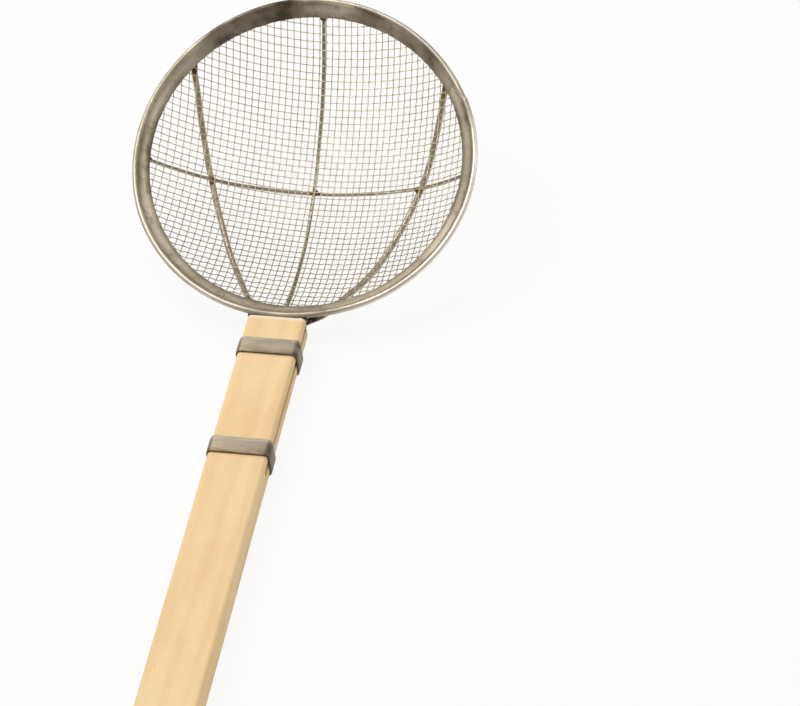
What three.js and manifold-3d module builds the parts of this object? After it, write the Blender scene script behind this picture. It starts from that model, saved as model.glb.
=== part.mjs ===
// Long-handled mesh strainer. A dished wire mesh sits in a folded steel rim. Two heavy wires carry the rim
// from below and run back, with a flat plate between them, as a tang in the sawn end of a wooden handle.
// Millimetres, +Z up. The handle lies level along -Y, and the bowl opens upwards and leans towards it.
import * as THREE from 'three';
import { mergeVertices } from 'three/addons/utils/BufferGeometryUtils.js';
import Module from 'manifold-3d';

const wasm = await Module();
wasm.setup();

// Fits
const clearance = 0.3;
const weldGap = 1.5;

// Rim and bowl
const hoopRadius = 100;
const bandReach = 8.8;
const bandDrop = 5.2;
const bandSheet = 0.45;
const rimWireRadius = 0.6;
const bowlDepth = 42;

// Mesh, drawn with fewer and heavier strands than the woven cloth
const strandPitch = 10.5;
const strandWidth = 1.3;
const strandThickness = 0.7;
const meshEdgeThickness = 1.2;
const meshEdgeInside = 2.2;
const meshEdgeTuck = 5;
const strandHold = 1.4;

// Wires under the bowl
const ribRadius = 1.8;
const spineRadius = 1.1;
const crossRadius = 1.1;
const ribNearHalfSpread = 20.2;
const ribFarAzimuth = THREE.MathUtils.degToRad(36.6);
const ribBow = 5.5;
const crossWireOffset = -3.5;
const wireEndOnBand = 4;
const thinWireEase = 0.12;
const ribEase = 0.34;
const ribStraightShare = 0.6;

// Tang and handle
const handleRise = THREE.MathUtils.degToRad(22.5);
const handleLength = 360;
const handleWidth = 33;
const handleThickness = 15.5;
const handleEdgeRadius = 2.4;
const handleEndRounding = 1;
const lipThickness = 4.2;
const tangReach = 2.1;
const tangLength = 105.3;
const kerfOverrun = 6;
const ribHalfSpacing = 13.5;
const tangPlateThickness = 2;

// Straps
const strapWidth = 11.3;
const strapThickness = 0.9;
const frontStrapSetback = 17.8;
const tangPastStrap = 2.2;
const strapEndGap = 9;

// How round things are divided
const hoopSegments = 72;
const arcSegments = 6;
const cornerSegments = 3;
const endRoundingSegments = 2;
const thinWireSides = 8;
const thinWireStations = 13;
const thinWireStep = 5;
const ribSides = 10;
const ribStations = 12;
const ribStep = 6;
const tangStations = 4;
const mergeTolerance = 1e-4;

// Sizes that follow from the ones above
const slotHalf = meshEdgeThickness / 2 + clearance;
const bandHalf = slotHalf + bandSheet;
const beadBore = Math.hypot(rimWireRadius + clearance, slotHalf);
const beadRadius = beadBore + bandSheet;
const meshRadius = hoopRadius - bandReach;
const meshEdgeRadius = meshRadius - meshEdgeInside;
const meshSagitta = bowlDepth - bandDrop;
const sphereRadius = (meshRadius ** 2 + meshSagitta ** 2) / (2 * meshSagitta);
const sphereHeight = sphereRadius - bowlDepth;
const tangDrop = beadRadius + clearance + ribRadius;
const kerfHalf = ribRadius + clearance;
const kerfLength = tangLength + kerfOverrun;
const rearStrapSetback = tangLength - tangPastStrap - strapWidth;
const handleTop = kerfHalf + lipThickness;
const handleBottom = handleTop - handleThickness;

// How far below the middle of the mesh each wire runs
const spineDepth = strandThickness / 2 + clearance + spineRadius;
const crossDepth = spineDepth + spineRadius + clearance + crossRadius;
const ribDepth = crossDepth + crossRadius + clearance + ribRadius;

// The band's section, as (radius, height): its inner edge, its rolled rim and the directions between them
const bandFoot = new THREE.Vector2(meshRadius, -bandDrop);
const beadCentre = new THREE.Vector2(hoopRadius - beadRadius, 0);
const upBand = beadCentre.clone().sub(bandFoot).normalize();
const outOfBand = new THREE.Vector2(upBand.y, -upBand.x);

const steel = { roughness: 0.38, metalness: 1 };
const finishes = {
  wood: { color: 0xf0d2a0, roughness: 0.62, metalness: 0 },
  strap: { color: 0x9b968c, ...steel },
  plate: { color: 0xb9b6b0, ...steel },
  rib: { color: 0x8f887c, ...steel },
  wire: { color: 0x8a8478, ...steel },
  rim: { color: 0xa39c8f, ...steel },
  mesh: { color: 0xa7a296, ...steel },
};

// A named piece with its own material
function piece(name, geometry, finish) {
  const mesh = new THREE.Mesh(geometry, new THREE.MeshStandardMaterial(finish));
  mesh.name = name;
  return mesh;
}

// A closed geometry as a solid that can be cut and joined
function toSolid(geometry) {
  const bare = geometry.clone();
  bare.deleteAttribute('normal');
  bare.deleteAttribute('uv');
  const merged = mergeVertices(bare, mergeTolerance);
  return new wasm.Manifold(new wasm.Mesh({
    numProp: 3,
    vertProperties: new Float32Array(merged.attributes.position.array),
    triVerts: new Uint32Array(merged.index.array),
  }));
}

// A solid back as a geometry
function toGeometry(solid) {
  const mesh = solid.getMesh();
  const geometry = new THREE.BufferGeometry();
  geometry.setAttribute('position', new THREE.BufferAttribute(new Float32Array(mesh.vertProperties), 3));
  geometry.setIndex(new THREE.BufferAttribute(new Uint32Array(mesh.triVerts), 1));
  geometry.computeVertexNormals();
  return geometry;
}

// A ring turned about the bowl's axis from a closed section of (radius, height) points
function turned(section) {
  const closed = [...section, section[0]];
  return new THREE.LatheGeometry(closed, hoopSegments).rotateX(Math.PI / 2);
}

// A round wire along a smooth path
function wireAlong(points, radius, sides, step) {
  const path = new THREE.CatmullRomCurve3(points, false, 'centripetal');
  const section = new THREE.Shape();
  for (let side = 0; side < sides; side += 1) {
    const angle = (2 * Math.PI * side) / sides;
    const x = radius * Math.cos(angle);
    const y = radius * Math.sin(angle);
    if (side === 0) section.moveTo(x, y);
    else section.lineTo(x, y);
  }
  section.closePath();
  const steps = Math.ceil(path.getLength() / step);
  return new THREE.ExtrudeGeometry(section, { steps, extrudePath: path, bevelEnabled: false });
}

// Height of the middle of the mesh at a distance from the bowl's axis
function meshHeight(radius) {
  return sphereHeight - Math.sqrt(sphereRadius ** 2 - radius ** 2);
}

// A point below the mesh, by its place in plan and its depth along the mesh's own normal
function underMesh(x, y, depth) {
  const down = Math.sqrt(sphereRadius ** 2 - x ** 2 - y ** 2);
  const stretch = (sphereRadius + depth) / sphereRadius;
  return new THREE.Vector3(x * stretch, y * stretch, sphereHeight - down * stretch);
}

// A point below the band, by its azimuth, its distance up from the band's inner edge and its depth
function underBand(azimuth, along, depth) {
  const section = bandFoot.clone().addScaledVector(upBand, along).addScaledVector(outOfBand, depth);
  return new THREE.Vector3(section.x * Math.cos(azimuth), section.x * Math.sin(azimuth), section.y);
}

// How deep a wire runs: as its ends lie on the band, eased to the full depth over a share of its length
function easedDepth(share, endDepth, fullDepth, ease) {
  const rise = THREE.MathUtils.smoothstep(Math.min(share, 1 - share), 0, ease);
  return THREE.MathUtils.lerp(endDepth, fullDepth, rise);
}

function onBandDepth(radius) {
  return bandHalf + clearance + radius;
}

// The band: two leaves with a slot for the mesh, joined by a roll round the rim wire
function rimBand() {
  const section = [];
  const onFoot = (offset) => bandFoot.clone().addScaledVector(outOfBand, offset);
  const onRoll = (radius, angle) => beadCentre.clone()
    .addScaledVector(upBand, -radius * Math.cos(angle))
    .addScaledVector(outOfBand, radius * Math.sin(angle));
  const arc = (radius, from, to) => {
    for (let i = 0; i <= arcSegments; i += 1) {
      section.push(onRoll(radius, THREE.MathUtils.lerp(from, to, i / arcSegments)));
    }
  };
  const outerStart = Math.asin(bandHalf / beadRadius);
  const boreStart = Math.asin(slotHalf / beadBore);
  section.push(onFoot(bandHalf));
  arc(beadRadius, outerStart, 2 * Math.PI - outerStart);
  section.push(onFoot(-bandHalf));
  section.push(onFoot(-slotHalf));
  arc(beadBore, 2 * Math.PI - boreStart, boreStart);
  section.push(onFoot(slotHalf));
  return piece('rim_band', turned(section), finishes.rim);
}

// The wire hoop inside the roll
function rimWire() {
  const section = [];
  for (let side = 0; side < thinWireSides; side += 1) {
    const angle = (2 * Math.PI * side) / thinWireSides;
    const spoke = new THREE.Vector2(Math.cos(angle), Math.sin(angle));
    section.push(beadCentre.clone().addScaledVector(spoke, rimWireRadius));
  }
  return piece('rim_wire', turned(section), finishes.wire);
}

// A square net of crossing strands, dished to the bowl, before it is trimmed round
function dishedNet() {
  const reach = Math.floor(meshEdgeRadius / strandPitch);
  const lines = [];
  for (let strand = -reach; strand <= reach; strand += 1) {
    lines.push(strand * strandPitch - strandWidth / 2, strand * strandPitch + strandWidth / 2);
  }
  const count = lines.length;
  const positions = [];
  const triangles = [];
  const corner = (i, j, top) => (i * count + j) * 2 + (top ? 1 : 0);
  for (const x of lines) {
    for (const y of lines) {
      const radius = Math.min(Math.hypot(x, y), sphereRadius - strandWidth);
      const height = meshHeight(radius);
      positions.push(x, y, height - strandThickness / 2, x, y, height + strandThickness / 2);
    }
  }
  const quad = (a, b, c, d) => triangles.push(a, b, c, a, c, d);
  const side = (i, j, k, l) => quad(corner(i, j, 0), corner(k, l, 0), corner(k, l, 1), corner(i, j, 1));
  const solidAt = (i, j) => {
    const inNet = Math.min(i, j) >= 0 && Math.max(i, j) < count - 1;
    return inNet && (i % 2 === 0 || j % 2 === 0);
  };
  for (let i = 0; i < count - 1; i += 1) {
    for (let j = 0; j < count - 1; j += 1) {
      if (!solidAt(i, j)) continue;
      quad(corner(i, j, 1), corner(i + 1, j, 1), corner(i + 1, j + 1, 1), corner(i, j + 1, 1));
      quad(corner(i, j, 0), corner(i, j + 1, 0), corner(i + 1, j + 1, 0), corner(i + 1, j, 0));
      if (!solidAt(i, j - 1)) side(i, j, i + 1, j);
      if (!solidAt(i + 1, j)) side(i + 1, j, i + 1, j + 1);
      if (!solidAt(i, j + 1)) side(i + 1, j + 1, i, j + 1);
      if (!solidAt(i - 1, j)) side(i, j + 1, i, j);
    }
  }
  const geometry = new THREE.BufferGeometry();
  geometry.setAttribute('position', new THREE.BufferAttribute(new Float32Array(positions), 3));
  geometry.setIndex(triangles);
  return geometry;
}

// The edge of the mesh: a thin ring that leaves the dish and turns up between the leaves of the band
function meshEdge() {
  const half = meshEdgeThickness / 2;
  const inner = new THREE.Vector2(meshEdgeRadius, meshHeight(meshEdgeRadius));
  const tucked = bandFoot.clone().addScaledVector(upBand, meshEdgeTuck);
  const upDish = bandFoot.clone().sub(inner).normalize();
  const outOfDish = new THREE.Vector2(upDish.y, -upDish.x);
  const mitre = outOfDish.clone().add(outOfBand).normalize();
  const mitreHalf = half / mitre.dot(outOfBand);
  return turned([
    inner.clone().addScaledVector(outOfDish, half),
    bandFoot.clone().addScaledVector(mitre, mitreHalf),
    tucked.clone().addScaledVector(outOfBand, half),
    tucked.clone().addScaledVector(outOfBand, -half),
    bandFoot.clone().addScaledVector(mitre, -mitreHalf),
    inner.clone().addScaledVector(outOfDish, -half),
  ]);
}

function meshBowl() {
  const trimRadius = meshEdgeRadius + strandHold;
  const trimHeight = 2 * sphereRadius;
  const trim = new THREE.CylinderGeometry(trimRadius, trimRadius, trimHeight, hoopSegments);
  const round = toSolid(trim.rotateX(Math.PI / 2));
  const net = toSolid(dishedNet()).intersect(round).add(toSolid(meshEdge()));
  return piece('mesh_bowl', toGeometry(net), finishes.mesh);
}

// A thin wire under the mesh between two points of the rim, straight in plan
function thinWire(name, startAzimuth, endAzimuth, radius, fullDepth) {
  const endDepth = onBandDepth(radius);
  const from = underBand(startAzimuth, 0, 0);
  const to = underBand(endAzimuth, 0, 0);
  const points = [underBand(startAzimuth, wireEndOnBand, endDepth)];
  for (let i = 1; i < thinWireStations; i += 1) {
    const share = i / thinWireStations;
    const plan = from.clone().lerp(to, share);
    points.push(underMesh(plan.x, plan.y, easedDepth(share, endDepth, fullDepth, thinWireEase)));
  }
  points.push(underBand(endAzimuth, wireEndOnBand, endDepth));
  return piece(name, wireAlong(points, radius, thinWireSides, thinWireStep), finishes.wire);
}

function spineWire() {
  return thinWire('spine_wire', -Math.PI / 2, Math.PI / 2, spineRadius, spineDepth);
}

function crossWire() {
  const drop = Math.asin(crossWireOffset / meshRadius);
  return thinWire('cross_wire', Math.PI - drop, drop, crossRadius, crossDepth);
}

// A rib: out of the kerf along the plate, under the rim, and in a bowed line below the mesh to the far rim
function rib(name, side, bowlFrame) {
  const endDepth = onBandDepth(ribRadius);
  const nearAzimuth = -Math.acos(ribNearHalfSpread / meshRadius);
  const near = underBand(nearAzimuth, 0, 0);
  const far = underBand(ribFarAzimuth, 0, 0);
  const along = new THREE.Vector2(far.x - near.x, far.y - near.y).normalize();
  const inTang = (y) => bowlFrame.worldToLocal(new THREE.Vector3(ribHalfSpacing, y, 0));
  const points = [];
  for (let i = 0; i <= tangStations; i += 1) {
    points.push(inTang(-tangLength * (1 - i / tangStations)));
  }
  points.push(inTang(ribStraightShare * tangReach));
  points.push(underBand(nearAzimuth, 0, endDepth));
  for (let i = 1; i < ribStations; i += 1) {
    const share = i / ribStations;
    const bow = 4 * share * (1 - share) * ribBow;
    const x = THREE.MathUtils.lerp(near.x, far.x, share) + along.y * bow;
    const y = THREE.MathUtils.lerp(near.y, far.y, share) - along.x * bow;
    points.push(underMesh(x, y, easedDepth(share, endDepth, ribDepth, ribEase)));
  }
  points.push(underBand(ribFarAzimuth, wireEndOnBand, endDepth));
  const placed = points.map((point) => new THREE.Vector3(side * point.x, point.y, point.z));
  return piece(name, wireAlong(placed, ribRadius, ribSides, ribStep), finishes.rib);
}

// A rectangle with round corners, across the handle
function roundedSection(halfWidth, bottom, top, radius) {
  const shape = new THREE.Shape();
  shape.moveTo(-halfWidth + radius, bottom);
  shape.lineTo(halfWidth - radius, bottom);
  shape.absarc(halfWidth - radius, bottom + radius, radius, -Math.PI / 2, 0, false);
  shape.lineTo(halfWidth, top - radius);
  shape.absarc(halfWidth - radius, top - radius, radius, 0, Math.PI / 2, false);
  shape.lineTo(-halfWidth + radius, top);
  shape.absarc(-halfWidth + radius, top - radius, radius, Math.PI / 2, Math.PI, false);
  shape.lineTo(-halfWidth, bottom + radius);
  shape.absarc(-halfWidth + radius, bottom + radius, radius, Math.PI, 1.5 * Math.PI, false);
  return shape;
}

// Extruded across the handle's section, from a start to an end along Y
function alongHandle(shape, startY, endY, rounding) {
  const geometry = new THREE.ExtrudeGeometry(shape, {
    depth: startY - endY - 2 * rounding,
    curveSegments: cornerSegments,
    bevelEnabled: rounding > 0,
    bevelThickness: rounding,
    bevelSize: rounding,
    bevelOffset: -rounding,
    bevelSegments: endRoundingSegments,
  });
  return geometry.rotateX(Math.PI / 2).translate(0, startY - rounding, 0);
}

function handle() {
  const section = roundedSection(handleWidth / 2, handleBottom, handleTop, handleEdgeRadius);
  const stick = alongHandle(section, 0, -handleLength, handleEndRounding);
  const kerf = new THREE.BoxGeometry(2 * handleWidth, 2 * kerfLength, 2 * kerfHalf);
  return piece('handle', toGeometry(toSolid(stick).subtract(toSolid(kerf))), finishes.wood);
}

// The plate between the ribs, from just short of the rim to the end of the tang
function tangPlate() {
  const halfWidth = ribHalfSpacing - ribRadius - clearance;
  const frontEnd = tangReach - weldGap;
  const length = frontEnd + tangLength;
  const plate = new THREE.BoxGeometry(2 * halfWidth, length, tangPlateThickness);
  return piece('tang_plate', plate.translate(0, frontEnd - length / 2, 0), finishes.plate);
}

// A strap: over the top, down both sides and folded in below, with a gap between its ends
function strap(name, setback) {
  const outline = (grow) => {
    const radius = handleEdgeRadius + grow;
    const halfWidth = handleWidth / 2 + grow;
    const bottom = handleBottom - grow;
    const top = handleTop + grow;
    return { radius, halfWidth, bottom, top };
  };
  const inner = outline(clearance);
  const outer = outline(clearance + strapThickness);
  const shape = new THREE.Shape();
  const round = (edge, start, turn) => {
    const x = edge.halfWidth - edge.radius;
    const high = edge.top - edge.radius;
    const low = edge.bottom + edge.radius;
    const corners = [[x, low], [x, high], [-x, high], [-x, low]];
    const order = turn > 0 ? corners : [...corners].reverse();
    order.forEach(([cx, cy], index) => {
      const from = start + (turn * index * Math.PI) / 2;
      shape.absarc(cx, cy, edge.radius, from, from + (turn * Math.PI) / 2, turn < 0);
    });
  };
  shape.moveTo(strapEndGap / 2, inner.bottom);
  shape.lineTo(strapEndGap / 2, outer.bottom);
  round(outer, -Math.PI / 2, 1);
  shape.lineTo(-strapEndGap / 2, outer.bottom);
  shape.lineTo(-strapEndGap / 2, inner.bottom);
  round(inner, -Math.PI / 2, -1);
  shape.closePath();
  return piece(name, alongHandle(shape, -setback, -setback - strapWidth, 0), finishes.strap);
}

// Put the finished strainer down on the ground, with the origin under the middle of its box
function standOnGround(group) {
  const box = new THREE.Box3().setFromObject(group, true);
  const middle = box.getCenter(new THREE.Vector3());
  group.position.set(-middle.x, -middle.y, -box.min.z);
}

const bowl = new THREE.Group();
const rimEdge = new THREE.Vector3(0, -hoopRadius, -tangDrop);
bowl.rotation.x = handleRise;
bowl.position.set(0, tangReach, 0).sub(rimEdge.applyEuler(bowl.rotation));
bowl.updateMatrixWorld(true);
bowl.add(rimBand(), rimWire(), meshBowl(), spineWire(), crossWire());
bowl.add(rib('left_rib', -1, bowl), rib('right_rib', 1, bowl));

const strainer = new THREE.Group();
strainer.add(bowl, handle(), tangPlate());
strainer.add(strap('front_strap', frontStrapSetback));
strainer.add(strap('rear_strap', rearStrapSetback));
standOnGround(strainer);

export default strainer;
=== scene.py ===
"""Looks of a long-handled mesh strainer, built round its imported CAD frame.

Everything is in metres in the CAD frame: +Z up, the handle level along -Y, and the bowl leaning up
towards +Y. Sizes are written in millimetres and multiplied by MM.
"""
import logging
import math
from dataclasses import dataclass, field
from enum import Enum
from typing import Any, Sequence

import bmesh
import bpy
from mathutils import Matrix, Vector, noise


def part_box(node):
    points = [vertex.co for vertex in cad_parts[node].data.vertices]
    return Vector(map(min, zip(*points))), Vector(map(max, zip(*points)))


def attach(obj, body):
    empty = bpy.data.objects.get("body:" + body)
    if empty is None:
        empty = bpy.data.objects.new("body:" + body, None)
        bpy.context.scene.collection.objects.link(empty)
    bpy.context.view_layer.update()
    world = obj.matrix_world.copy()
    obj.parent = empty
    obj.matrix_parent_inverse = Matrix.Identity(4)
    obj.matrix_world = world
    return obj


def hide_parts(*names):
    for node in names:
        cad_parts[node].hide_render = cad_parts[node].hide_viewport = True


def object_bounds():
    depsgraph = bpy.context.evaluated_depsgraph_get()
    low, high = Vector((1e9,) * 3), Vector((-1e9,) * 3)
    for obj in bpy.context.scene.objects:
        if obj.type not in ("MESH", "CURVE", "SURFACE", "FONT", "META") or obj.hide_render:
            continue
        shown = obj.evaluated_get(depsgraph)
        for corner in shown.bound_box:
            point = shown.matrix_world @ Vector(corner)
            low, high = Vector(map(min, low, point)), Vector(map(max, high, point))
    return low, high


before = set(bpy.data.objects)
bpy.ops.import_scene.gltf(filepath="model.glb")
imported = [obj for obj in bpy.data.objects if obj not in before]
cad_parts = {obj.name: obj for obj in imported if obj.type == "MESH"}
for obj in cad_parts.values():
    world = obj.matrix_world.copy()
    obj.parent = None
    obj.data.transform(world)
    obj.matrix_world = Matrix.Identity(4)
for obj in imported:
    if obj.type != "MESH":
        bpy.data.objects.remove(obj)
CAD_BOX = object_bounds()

MM = 0.001
BODY = "root"
FULL_TURN = 2.0 * math.pi
WELD_LENGTH = 4.2 * MM
ARC_ONSET = 1.5

Colour = tuple[float, float, float, float]
Section = list[tuple[float, float]]

WHITE: Colour = (1.0, 1.0, 1.0, 1.0)
PIT_COLOUR: Colour = (0.05, 0.043, 0.035, 1.0)
# Where woven wires cross: painted shade, with dirt.
CROSSING_SHADE_AND_GRIME_COLOUR: Colour = (0.04, 0.035, 0.03, 1.0)
STRAW_TINT: Colour = (0.36, 0.275, 0.125, 1.0)
BROWN_TINT: Colour = (0.15, 0.095, 0.05, 1.0)
# The darkest weld tint. It also gives the painted shade on the ribs by the handle.
BURNT_AND_SHADE_TINT: Colour = (0.035, 0.029, 0.022, 1.0)

log = logging.getLogger("strainer")


class NodeGraph:
    """A node tree with short calls to add nodes and join them."""

    def __init__(self, tree: bpy.types.NodeTree) -> None:
        """Keeps the tree that the nodes go into."""
        self.tree = tree

    def feed(self, socket: bpy.types.NodeSocket, value: Any) -> None:
        """Joins an input to an output socket, or sets its plain value.

        Args:
            socket: The input to fill.
            value: An output socket, or a number, colour, vector or data block.
        """
        if isinstance(value, bpy.types.NodeSocket):
            self.tree.links.new(value, socket)
        else:
            socket.default_value = value

    def add(self, kind: str, feeds: dict[str | int, Any] | None = None,
            **settings: Any) -> bpy.types.Node:
        """Adds a node.

        Args:
            kind: The node's type name.
            feeds: What goes into its inputs, by name or index.
            **settings: Properties of the node.

        Returns:
            The new node.
        """
        node = self.tree.nodes.new(kind)
        for name, value in settings.items():
            setattr(node, name, value)
        for key, value in (feeds or {}).items():
            self.feed(node.inputs[key], value)
        return node

    def math(self, operation: str, *values: Any) -> bpy.types.NodeSocket:
        """Adds a Math node.

        Args:
            operation: The node's operation.
            *values: Sockets or numbers, in the order of its inputs.

        Returns:
            The result's socket.
        """
        return self.add("ShaderNodeMath", dict(enumerate(values)), operation=operation).outputs[0]

    def vector(self, operation: str, *values: Any) -> bpy.types.NodeSocket:
        """Adds a Vector Math node that gives a vector.

        Args:
            operation: The node's operation.
            *values: Sockets or vectors, in the order of its inputs.

        Returns:
            The result's socket.
        """
        feeds = dict(enumerate(values))
        return self.add("ShaderNodeVectorMath", feeds, operation=operation).outputs[0]

    def scaled(self, vector: Any, scale: Any) -> bpy.types.NodeSocket:
        """A vector times a number.

        Args:
            vector: A socket or a vector.
            scale: A socket or a number.

        Returns:
            The result's socket.
        """
        node = self.add("ShaderNodeVectorMath", {0: vector, "Scale": scale}, operation="SCALE")
        return node.outputs[0]

    def ramp(self, value: Any, low: float, high: float, start: Any = 0.0,
             end: Any = 1.0) -> bpy.types.NodeSocket:
        """A smooth step from one number to another.

        Args:
            value: The socket to map.
            low: Where the step starts.
            high: Where the step ends.
            start: The result below the step.
            end: The result above it.

        Returns:
            The result's socket.
        """
        feeds = {"Value": value, "From Min": low, "From Max": high, "To Min": start, "To Max": end}
        node = self.add("ShaderNodeMapRange", feeds, interpolation_type="SMOOTHSTEP")
        return node.outputs["Result"]

    def noise(self, vector: Any, scale: Any, detail: float = 2.0,
              roughness: float = 0.5) -> bpy.types.NodeSocket:
        """A noise value from 0 to 1.

        Args:
            vector: Where it is read.
            scale: How fine it is, per metre.
            detail: Its octaves.
            roughness: How much its finer octaves count.

        Returns:
            The value's socket.
        """
        feeds = {"Vector": vector, "Scale": scale, "Detail": detail, "Roughness": roughness}
        return self.add("ShaderNodeTexNoise", feeds).outputs[0]

    def mix(self, factor: Any, first: Any, second: Any) -> bpy.types.NodeSocket:
        """Mixes two colours.

        Args:
            factor: How much of the second.
            first: A socket or a colour.
            second: A socket or a colour.

        Returns:
            The colour's socket.
        """
        node = self.add("ShaderNodeMix", data_type="RGBA")
        colours = [socket for socket in node.inputs if socket.type == "RGBA"]
        self.feed(node.inputs[0], factor)
        self.feed(colours[0], first)
        self.feed(colours[1], second)
        return next(socket for socket in node.outputs if socket.type == "RGBA")

    def attribute(self, name: str) -> bpy.types.NodeSocket:
        """A number that the mesh keeps on its points, for a material to read."""
        return self.add("ShaderNodeAttribute", attribute_name=name).outputs["Fac"]


class SocketKind(Enum):
    """What a group's socket carries."""

    GEOMETRY = "NodeSocketGeometry"
    LENGTH = "NodeSocketFloat"
    COUNT = "NodeSocketInt"
    MATERIAL = "NodeSocketMaterial"
    COLOUR = "NodeSocketColor"
    VECTOR = "NodeSocketVector"


class GroupGraph(NodeGraph):
    """A node group with named sockets."""

    def __init__(self, name: str, kind: str, inputs: dict[str, SocketKind],
                 outputs: dict[str, SocketKind]) -> None:
        """Makes the group.

        Args:
            name: The group's name.
            kind: GeometryNodeTree or ShaderNodeTree.
            inputs: Its inputs and what they carry.
            outputs: Its outputs and what they carry.
        """
        super().__init__(bpy.data.node_groups.new(name, kind))
        self.identifiers: dict[str, str] = {}
        sockets = self.tree.interface
        for label, carried in inputs.items():
            item = sockets.new_socket(label, in_out="INPUT", socket_type=carried.value)
            self.identifiers[label] = item.identifier
        for label, carried in outputs.items():
            sockets.new_socket(label, in_out="OUTPUT", socket_type=carried.value)
        self.given = self.add("NodeGroupInput").outputs
        self.result = self.add("NodeGroupOutput").inputs

    def put(self, **results: Any) -> None:
        """Joins what the group puts out, by output name."""
        for label, value in results.items():
            self.feed(self.result[label], value)


class BuildGraph(GroupGraph):
    """A Geometry Nodes tree that builds one piece from a mesh and named sizes."""

    def __init__(self, name: str, lengths: Sequence[str], counts: Sequence[str]) -> None:
        """Makes the tree.

        Args:
            name: The tree's name.
            lengths: Names of its number inputs.
            counts: Names of its whole-number inputs.
        """
        inputs = {"Geometry": SocketKind.GEOMETRY, "Material": SocketKind.MATERIAL}
        inputs |= {label: SocketKind.LENGTH for label in lengths}
        inputs |= {label: SocketKind.COUNT for label in counts}
        super().__init__(name, "GeometryNodeTree", inputs, {"Geometry": SocketKind.GEOMETRY})

    def store(self, geometry: Any, name: str, value: Any) -> bpy.types.NodeSocket:
        """Keeps a number on the points.

        Args:
            geometry: What carries the points.
            name: The attribute's name.
            value: The number.

        Returns:
            The geometry's socket.
        """
        feeds = {"Geometry": geometry, "Name": name, "Value": value}
        return self.add("GeometryNodeStoreNamedAttribute", feeds).outputs[0]

    def kept(self, name: str) -> bpy.types.NodeSocket:
        """A number that the points keep."""
        return self.add("GeometryNodeInputNamedAttribute", {"Name": name}).outputs[0]

    def tube(self, curve: Any, radius: Any, sides: Any, girth: Any = 1.0) -> bpy.types.NodeSocket:
        """A round wire along a curve, which keeps its place around the wire as "around".

        Args:
            curve: The wire's middle line.
            radius: The wire's radius.
            sides: Faces around it.
            girth: A factor on the radius along the wire.

        Returns:
            The mesh's socket.
        """
        feeds = {"Resolution": sides, "Radius": radius}
        circle = self.add("GeometryNodeCurvePrimitiveCircle", feeds).outputs[0]
        place = self.add("GeometryNodeSplineParameter").outputs["Factor"]
        profile = self.store(circle, "around", place)
        feeds = {"Curve": curve, "Profile Curve": profile, "Scale": girth, "Fill Caps": True}
        return self.add("GeometryNodeCurveToMesh", feeds).outputs[0]

    def finish(self, geometry: Any) -> None:
        """Realizes, smooths and paints what was built.

        Args:
            geometry: The last geometry socket.
        """
        real = self.add("GeometryNodeRealizeInstances", {"Geometry": geometry}).outputs[0]
        smooth = self.add("GeometryNodeSetShadeSmooth", {"Geometry": real}).outputs[0]
        feeds = {"Geometry": smooth, "Material": self.given["Material"]}
        self.put(Geometry=self.add("GeometryNodeSetMaterial", feeds).outputs[0])

    def bake(self, name: str, source: bpy.types.Mesh, material: bpy.types.Material,
             sizes: dict[str, float | int]) -> bpy.types.Object:
        """Runs the tree on a mesh and keeps the result as a plain mesh.

        Args:
            name: The piece's name.
            source: The mesh that the tree starts from.
            material: The piece's material.
            sizes: Values of the tree's inputs, by name.

        Returns:
            The piece.
        """
        piece = bpy.data.objects.new(name, source)
        bpy.context.scene.collection.objects.link(piece)
        modifier = piece.modifiers.new("build", "NODES")
        modifier.node_group = self.tree
        modifier[self.identifiers["Material"]] = material
        for label, value in sizes.items():
            modifier[self.identifiers[label]] = value
        depsgraph = bpy.context.evaluated_depsgraph_get()
        built = bpy.data.meshes.new_from_object(
            piece.evaluated_get(depsgraph), preserve_all_data_layers=True, depsgraph=depsgraph)
        piece.modifiers.remove(modifier)
        piece.data = built
        bpy.data.meshes.remove(source)
        built.name = name
        return piece


def smooth_path(points: Sequence[Vector], step: float) -> list[Vector]:
    """A centripetal curve through points, the same kind that the CAD wires follow.

    Args:
        points: What it passes through.
        step: About how far apart its points are.

    Returns:
        Points along the curve.
    """
    padded = [2 * points[0] - points[1], *points, 2 * points[-1] - points[-2]]
    path = [points[0].copy()]
    for corners in zip(padded, padded[1:], padded[2:], padded[3:]):
        knots = [0.0]
        for here, there in zip(corners, corners[1:]):
            knots.append(knots[-1] + math.sqrt((there - here).length))
        count = max(1, math.ceil((corners[2] - corners[1]).length / step))
        for index in range(1, count + 1):
            t = knots[1] + (knots[2] - knots[1]) * index / count
            spans = [(knots[i], knots[i + 1]) for i in range(3)]
            lines = [corners[i].lerp(corners[i + 1], (t - a) / (b - a)) for i, (a, b) in enumerate(spans)]
            spans = [(knots[i], knots[i + 2]) for i in range(2)]
            bends = [lines[i].lerp(lines[i + 1], (t - a) / (b - a)) for i, (a, b) in enumerate(spans)]
            path.append(bends[0].lerp(bends[1], (t - knots[1]) / (knots[2] - knots[1])))
    return path


def smoothstep(value: float) -> float:
    """An eased value from 0 to 1, held at both ends."""
    held = min(max(value, 0.0), 1.0)
    return held * held * (3.0 - 2.0 * held)


def arch(share: float) -> float:
    """A rise from 0 at both ends to 1 halfway."""
    return 4.0 * share * (1.0 - share)


def weld_run(path: Sequence[Vector]) -> list[Vector]:
    """Where beads lie on the welded end of a wire.

    Args:
        path: The wire's middle line, from that end.

    Returns:
        The two ends of the weld.
    """
    inner = min(path, key=lambda point: abs((point - path[0]).length - WELD_LENGTH))
    return [path[0], inner]


def meeting_point(first: Sequence[Vector], second: Sequence[Vector]) -> Vector:
    """The middle between two wires where they come closest.

    Args:
        first: One wire's middle line.
        second: The other one's.

    Returns:
        The point.
    """
    pairs = [(here, there) for here in first for there in second]
    here, there = min(pairs, key=lambda pair: (pair[0] - pair[1]).length)
    return (here + there) / 2.0


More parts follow.
